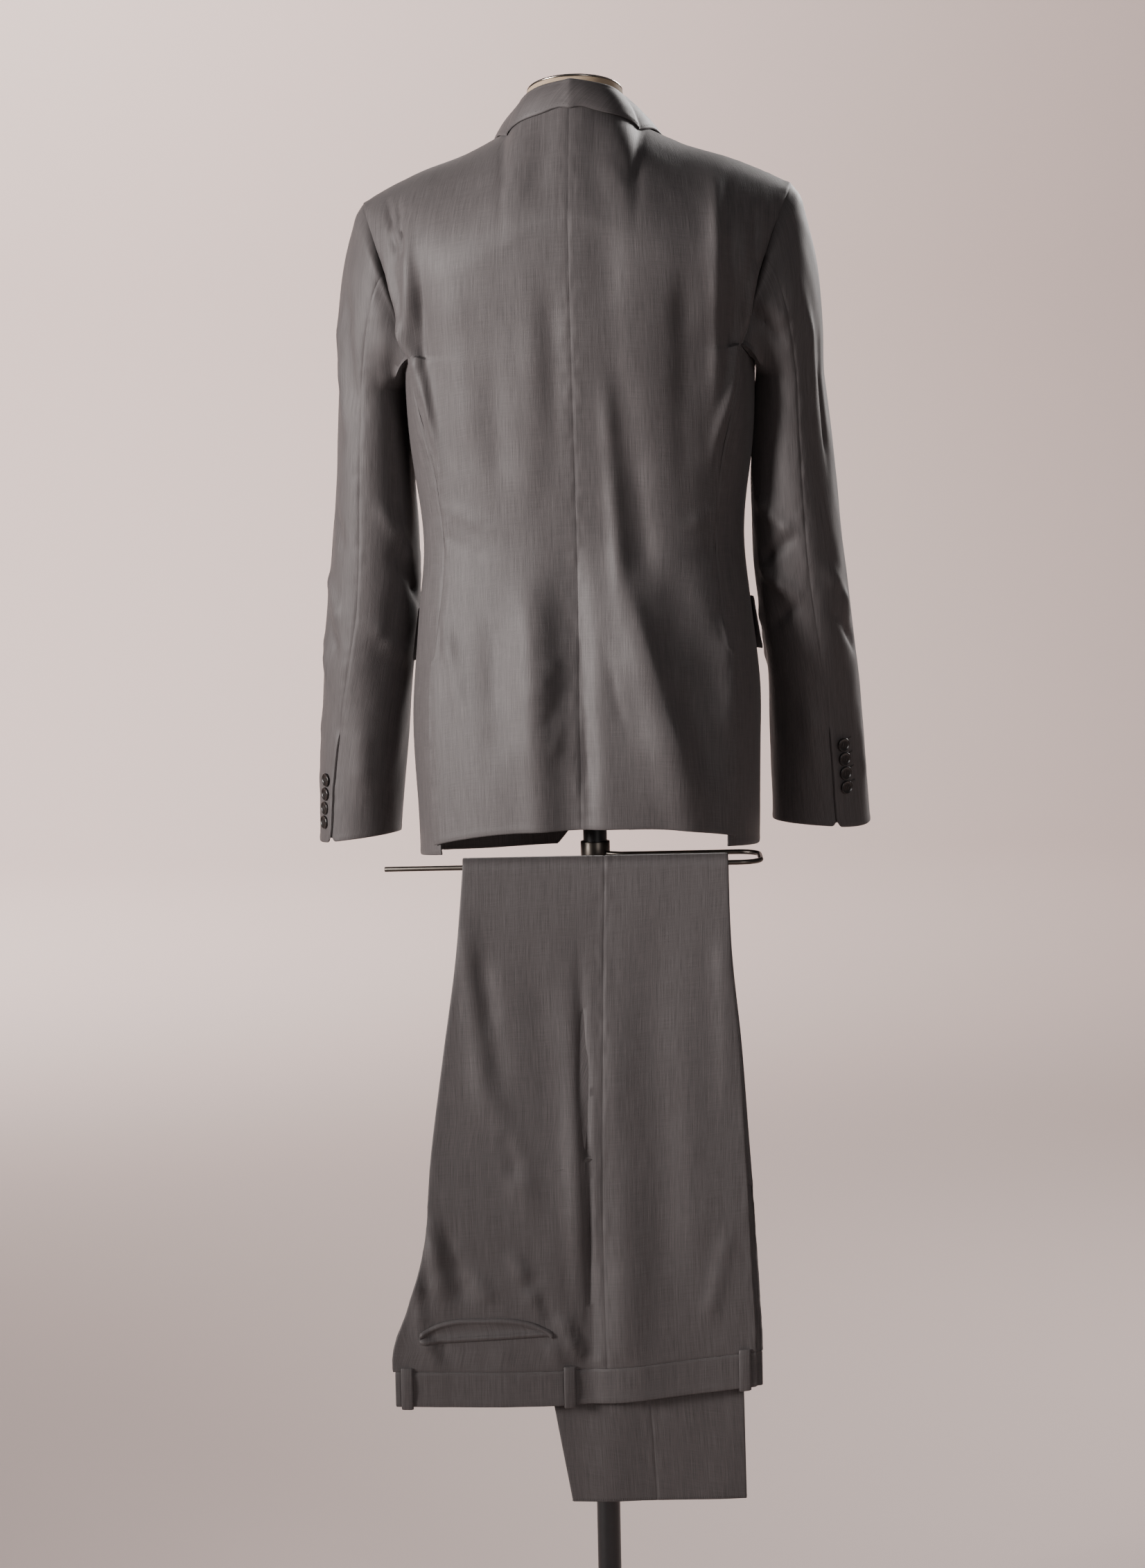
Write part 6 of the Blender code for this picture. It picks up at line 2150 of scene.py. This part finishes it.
@dataclass
class Stand:
    """The base, the pole, the plate under the form, and the trouser bar on its collar."""

    pole_radius: float = 0.0120
    base_radius: float = 0.150
    base_height: float = 0.016
    form_bottom: float = 0.962
    form_plate: float = 0.008
    collar_radius: float = 0.0148
    collar_low: float = 0.8440
    collar_high: float = 0.8670
    gap: float = 0.0003
    rod_radius: float = 0.0025
    bar_z: float = 0.8550
    bar_y: float = -0.0990
    arm_y: float = -0.0180
    bar_right: float = 0.1642
    bar_left: float = -0.2088
    corner: float = 0.022

    def base_and_pole(self) -> None:
        """The round foot, the pole and the form's plate."""
        r, h = self.base_radius, self.base_height
        base = [(r - 0.004, 0), (r - 0.001, 0.001), (r, 0.003), (r, h - 0.006), (r - 0.0012, h - 0.0030),
                (r - 0.004, h - 0.0012), (r - 0.012, h - 0.0004), (0.060, h + 0.0026), (0.034, h + 0.0040),
                (0.024, h + 0.0085), (0.019, h + 0.014), (0.0175, h + 0.0165), (0.016, h + 0.017)]
        dress(tube("stand_foot", lathe(base, 128), BLACK_SATIN), "black_satin", "stand_base")
        low, high = h + 0.017 + self.gap, self.form_bottom - self.form_plate - self.gap
        pole = [(self.pole_radius - 0.0004, low), (self.pole_radius, low + 0.0004), (self.pole_radius, high)]
        dress(tube("stand_tube", lathe(pole, 64), BLACK_SATIN), "black_satin", "stand_pole")
        low = self.form_bottom - self.form_plate
        plate = [(0.0450, low), (0.0464, low + 0.0006), (0.0470, low + 0.0020),
                 (0.0470, self.form_bottom - self.gap)]
        dress(tube("form_plate_disc", lathe(plate, 72), BLACK_SATIN), "black_satin", "form_plate")

    def bar_collar(self) -> None:
        """The collar that clamps the bar to the pole, and its screw."""
        bore, r = self.pole_radius + self.gap, self.collar_radius
        low, high = self.collar_low, self.collar_high
        profile = [(bore, low + 0.0004), (bore + 0.0004, low), (r - 0.0008, low), (r - 0.0002, low + 0.0003),
                   (r, low + 0.0009), (r, high - 0.0009), (r - 0.0002, high - 0.0003), (r - 0.0008, high),
                   (bore + 0.0004, high), (bore, high - 0.0004)]
        rings = np.array(lathe(profile, 64))
        count, sides = rings.shape[:2]
        index = np.arange(count * sides).reshape(count, sides)
        onward, around = np.roll(index, -1, axis=0), np.roll(index, -1, axis=1)
        faces = np.stack([index, around, np.roll(onward, -1, axis=1), onward], -1).reshape(-1, 4)
        ring = link_mesh("bar_collar_ring", rings.reshape(-1, 3), faces, [GUNMETAL], sharp=35)
        dress(ring, "gunmetal", "bar_collar")
        place = Matrix.Translation((0.0015, -r - self.gap, low + 0.007)) @ aimed((0, -1, 0))
        profile = [(0.0030, 0), (0.0034, 0.0005), (0.0034, 0.0029), (0.0031, 0.0034), (0.0024, 0.0036),
                   (0.0017, 0.0035), (0.0015, 0.0024), (0.0004, 0.0022)]
        dress(tube("collar_screw_head", lathe(profile, 40, place), STEEL), "screw_steel", "collar_screw")

    def bar(self) -> None:
        """The hairpin rod, swept along its centre line."""
        angle = math.radians(-38)
        start = np.array([math.cos(angle), math.sin(angle), 0])
        path = [start * (self.collar_radius + 0.0006), start * 0.0205,
                np.array([0.026, self.arm_y + 0.0006, 0]), np.array([0.036, self.arm_y, 0])]
        for centre, first in ((self.arm_y - self.corner, 0), (self.bar_y + self.corner, 90)):
            for k in range(16):
                turn = math.radians(first + 6 * k)
                path.append(np.array([self.bar_right - self.corner + self.corner * math.sin(turn),
                                      centre + self.corner * math.cos(turn), 0]))
        path += [np.array([self.bar_left + 0.0006, self.bar_y, 0]), np.array([self.bar_left, self.bar_y, 0])]
        points = np.array(path) + np.array([0, 0, self.bar_z])
        along = unit(np.gradient(points, axis=0))
        across = unit(np.cross(along, np.array([0, 0, 1.0])))
        angles = 2 * np.pi * np.arange(28) / 28
        radii = [self.rod_radius] * (len(points) - 1) + [self.rod_radius - 0.0006]
        rings = [p + r * (np.cos(angles)[:, None] * a + np.sin(angles)[:, None] * np.array([0, 0, 1.0]))
                 for p, a, r in zip(points, across, radii)]
        dress(tube("trouser_bar_rod", rings, GUNMETAL, 50), "gunmetal", "trouser_bar")

    def build(self) -> None:
        """Builds the whole stand."""
        self.base_and_pole()
        self.bar_collar()
        self.bar()


@dataclass
class Studio:
    """The floor and backdrop, the lights and the camera."""

    eye: tuple[float, float, float] = (0.0, -4.2, 1.40)
    aim: tuple[float, float, float] = (-0.0217, 0.0, 0.925)
    lens: float = 96.06
    roll: float = math.radians(-1.2)
    backdrop: Finish = Finish("backdrop", (0.585, 0.480, 0.450), 0.9, grain=0.01, grain_size=3)
    wall_y: float = 8.0
    wall_top: float = 6.5
    bend: float = 1.5
    near_end: float = -14.0
    half_width: float = 12.0
    floor_gap: float = 0.0004

    def sweep(self) -> None:
        """A plain floor that curves up into a backdrop."""
        start = self.wall_y - self.bend
        profile = [(self.near_end, 0.0), (start, 0.0)]
        for k in range(1, 13):
            angle = math.radians(90 * k / 12)
            profile.append((start + self.bend * math.sin(angle), self.bend - self.bend * math.cos(angle)))
        profile += [(self.wall_y, self.wall_top)]
        ends = (-self.half_width, self.half_width)
        vertices = [(x, y, z - self.floor_gap) for y, z in profile for x in ends]
        faces = [(2 * k, 2 * k + 1, 2 * k + 3, 2 * k + 2) for k in range(len(profile) - 1)]
        link_mesh("studio_floor", np.array(vertices), faces, [self.backdrop], sharp=60)

    def light(self, name: str, place: tuple[float, float, float], size: tuple[float, float], power_w: float,
              colour: tuple[float, float, float], aim: tuple[float, float, float] = (0, 0, 1.05),
              spread: float = 180) -> None:
        """Adds a soft rectangular light.

        Args:
            name: The light's name.
            place: Where it stands.
            size: Its width and height.
            power_w: Its power in watts.
            colour: Its colour.
            aim: Where it points.
            spread: How wide its beam is, in degrees.
        """
        data = bpy.data.lights.new(name, "AREA")
        data.shape = "RECTANGLE"
        data.size, data.size_y = size
        data.energy, data.color = power_w, colour
        data.spread = math.radians(spread)
        lamp = linked(name, data)
        lamp.location = place
        lamp.rotation_euler = (Vector(aim) - Vector(place)).to_track_quat("-Z", "Y").to_euler()

    def build(self) -> None:
        """Sets the floor, the lights, the surrounding light and the camera."""
        self.sweep()
        self.light("key_light", (-3.4, -1.85, 1.8), (1.1, 1.5), 35, (1.0, 0.945, 0.92), (0.5, 0, 1.36), 48)
        self.light("fill_light", (1.9, -4.4, 1.8), (1.6, 1.6), 46, (1.0, 0.95, 0.94), (0, 0, 1.3))
        self.light("backdrop_light", (-2.6, 4.4, 3.8), (2.4, 2.4), 560, (1.0, 0.945, 0.92), (-0.1, 7.6, 0.9))
        self.light("far_light", (2.5, 3.8, 2.9), (1.4, 1.4), 50, (1.0, 0.96, 0.94), (0, 0, 1.0), 70)
        world = bpy.data.worlds.new("studio_world")
        world.use_nodes = True
        fill(world.node_tree, world.node_tree.nodes["Background"],
             {"Color": (0.83, 0.81, 0.82, 1), "Strength": 0.15})
        bpy.context.scene.world = world
        data = bpy.data.cameras.new("camera")
        data.lens, data.sensor_width = self.lens, 36.0
        camera = linked("camera", data)
        turn = aimed(Vector(self.aim) - Vector(self.eye), "-Z")
        camera.matrix_world = Matrix.Translation(self.eye) @ turn @ Matrix.Rotation(self.roll, 4, "Z")
        bpy.context.scene.camera = camera


def main() -> None:
    """Builds the suit, the form, the stand and the studio in order."""
    logging.basicConfig(level=logging.INFO, format="%(message)s")
    for part in (DressForm(), Stand(), Jacket(), Trousers(), Studio()):
        part.build()
        log.info("%s built", type(part).__name__)


if __name__ == "__main__":
    main()
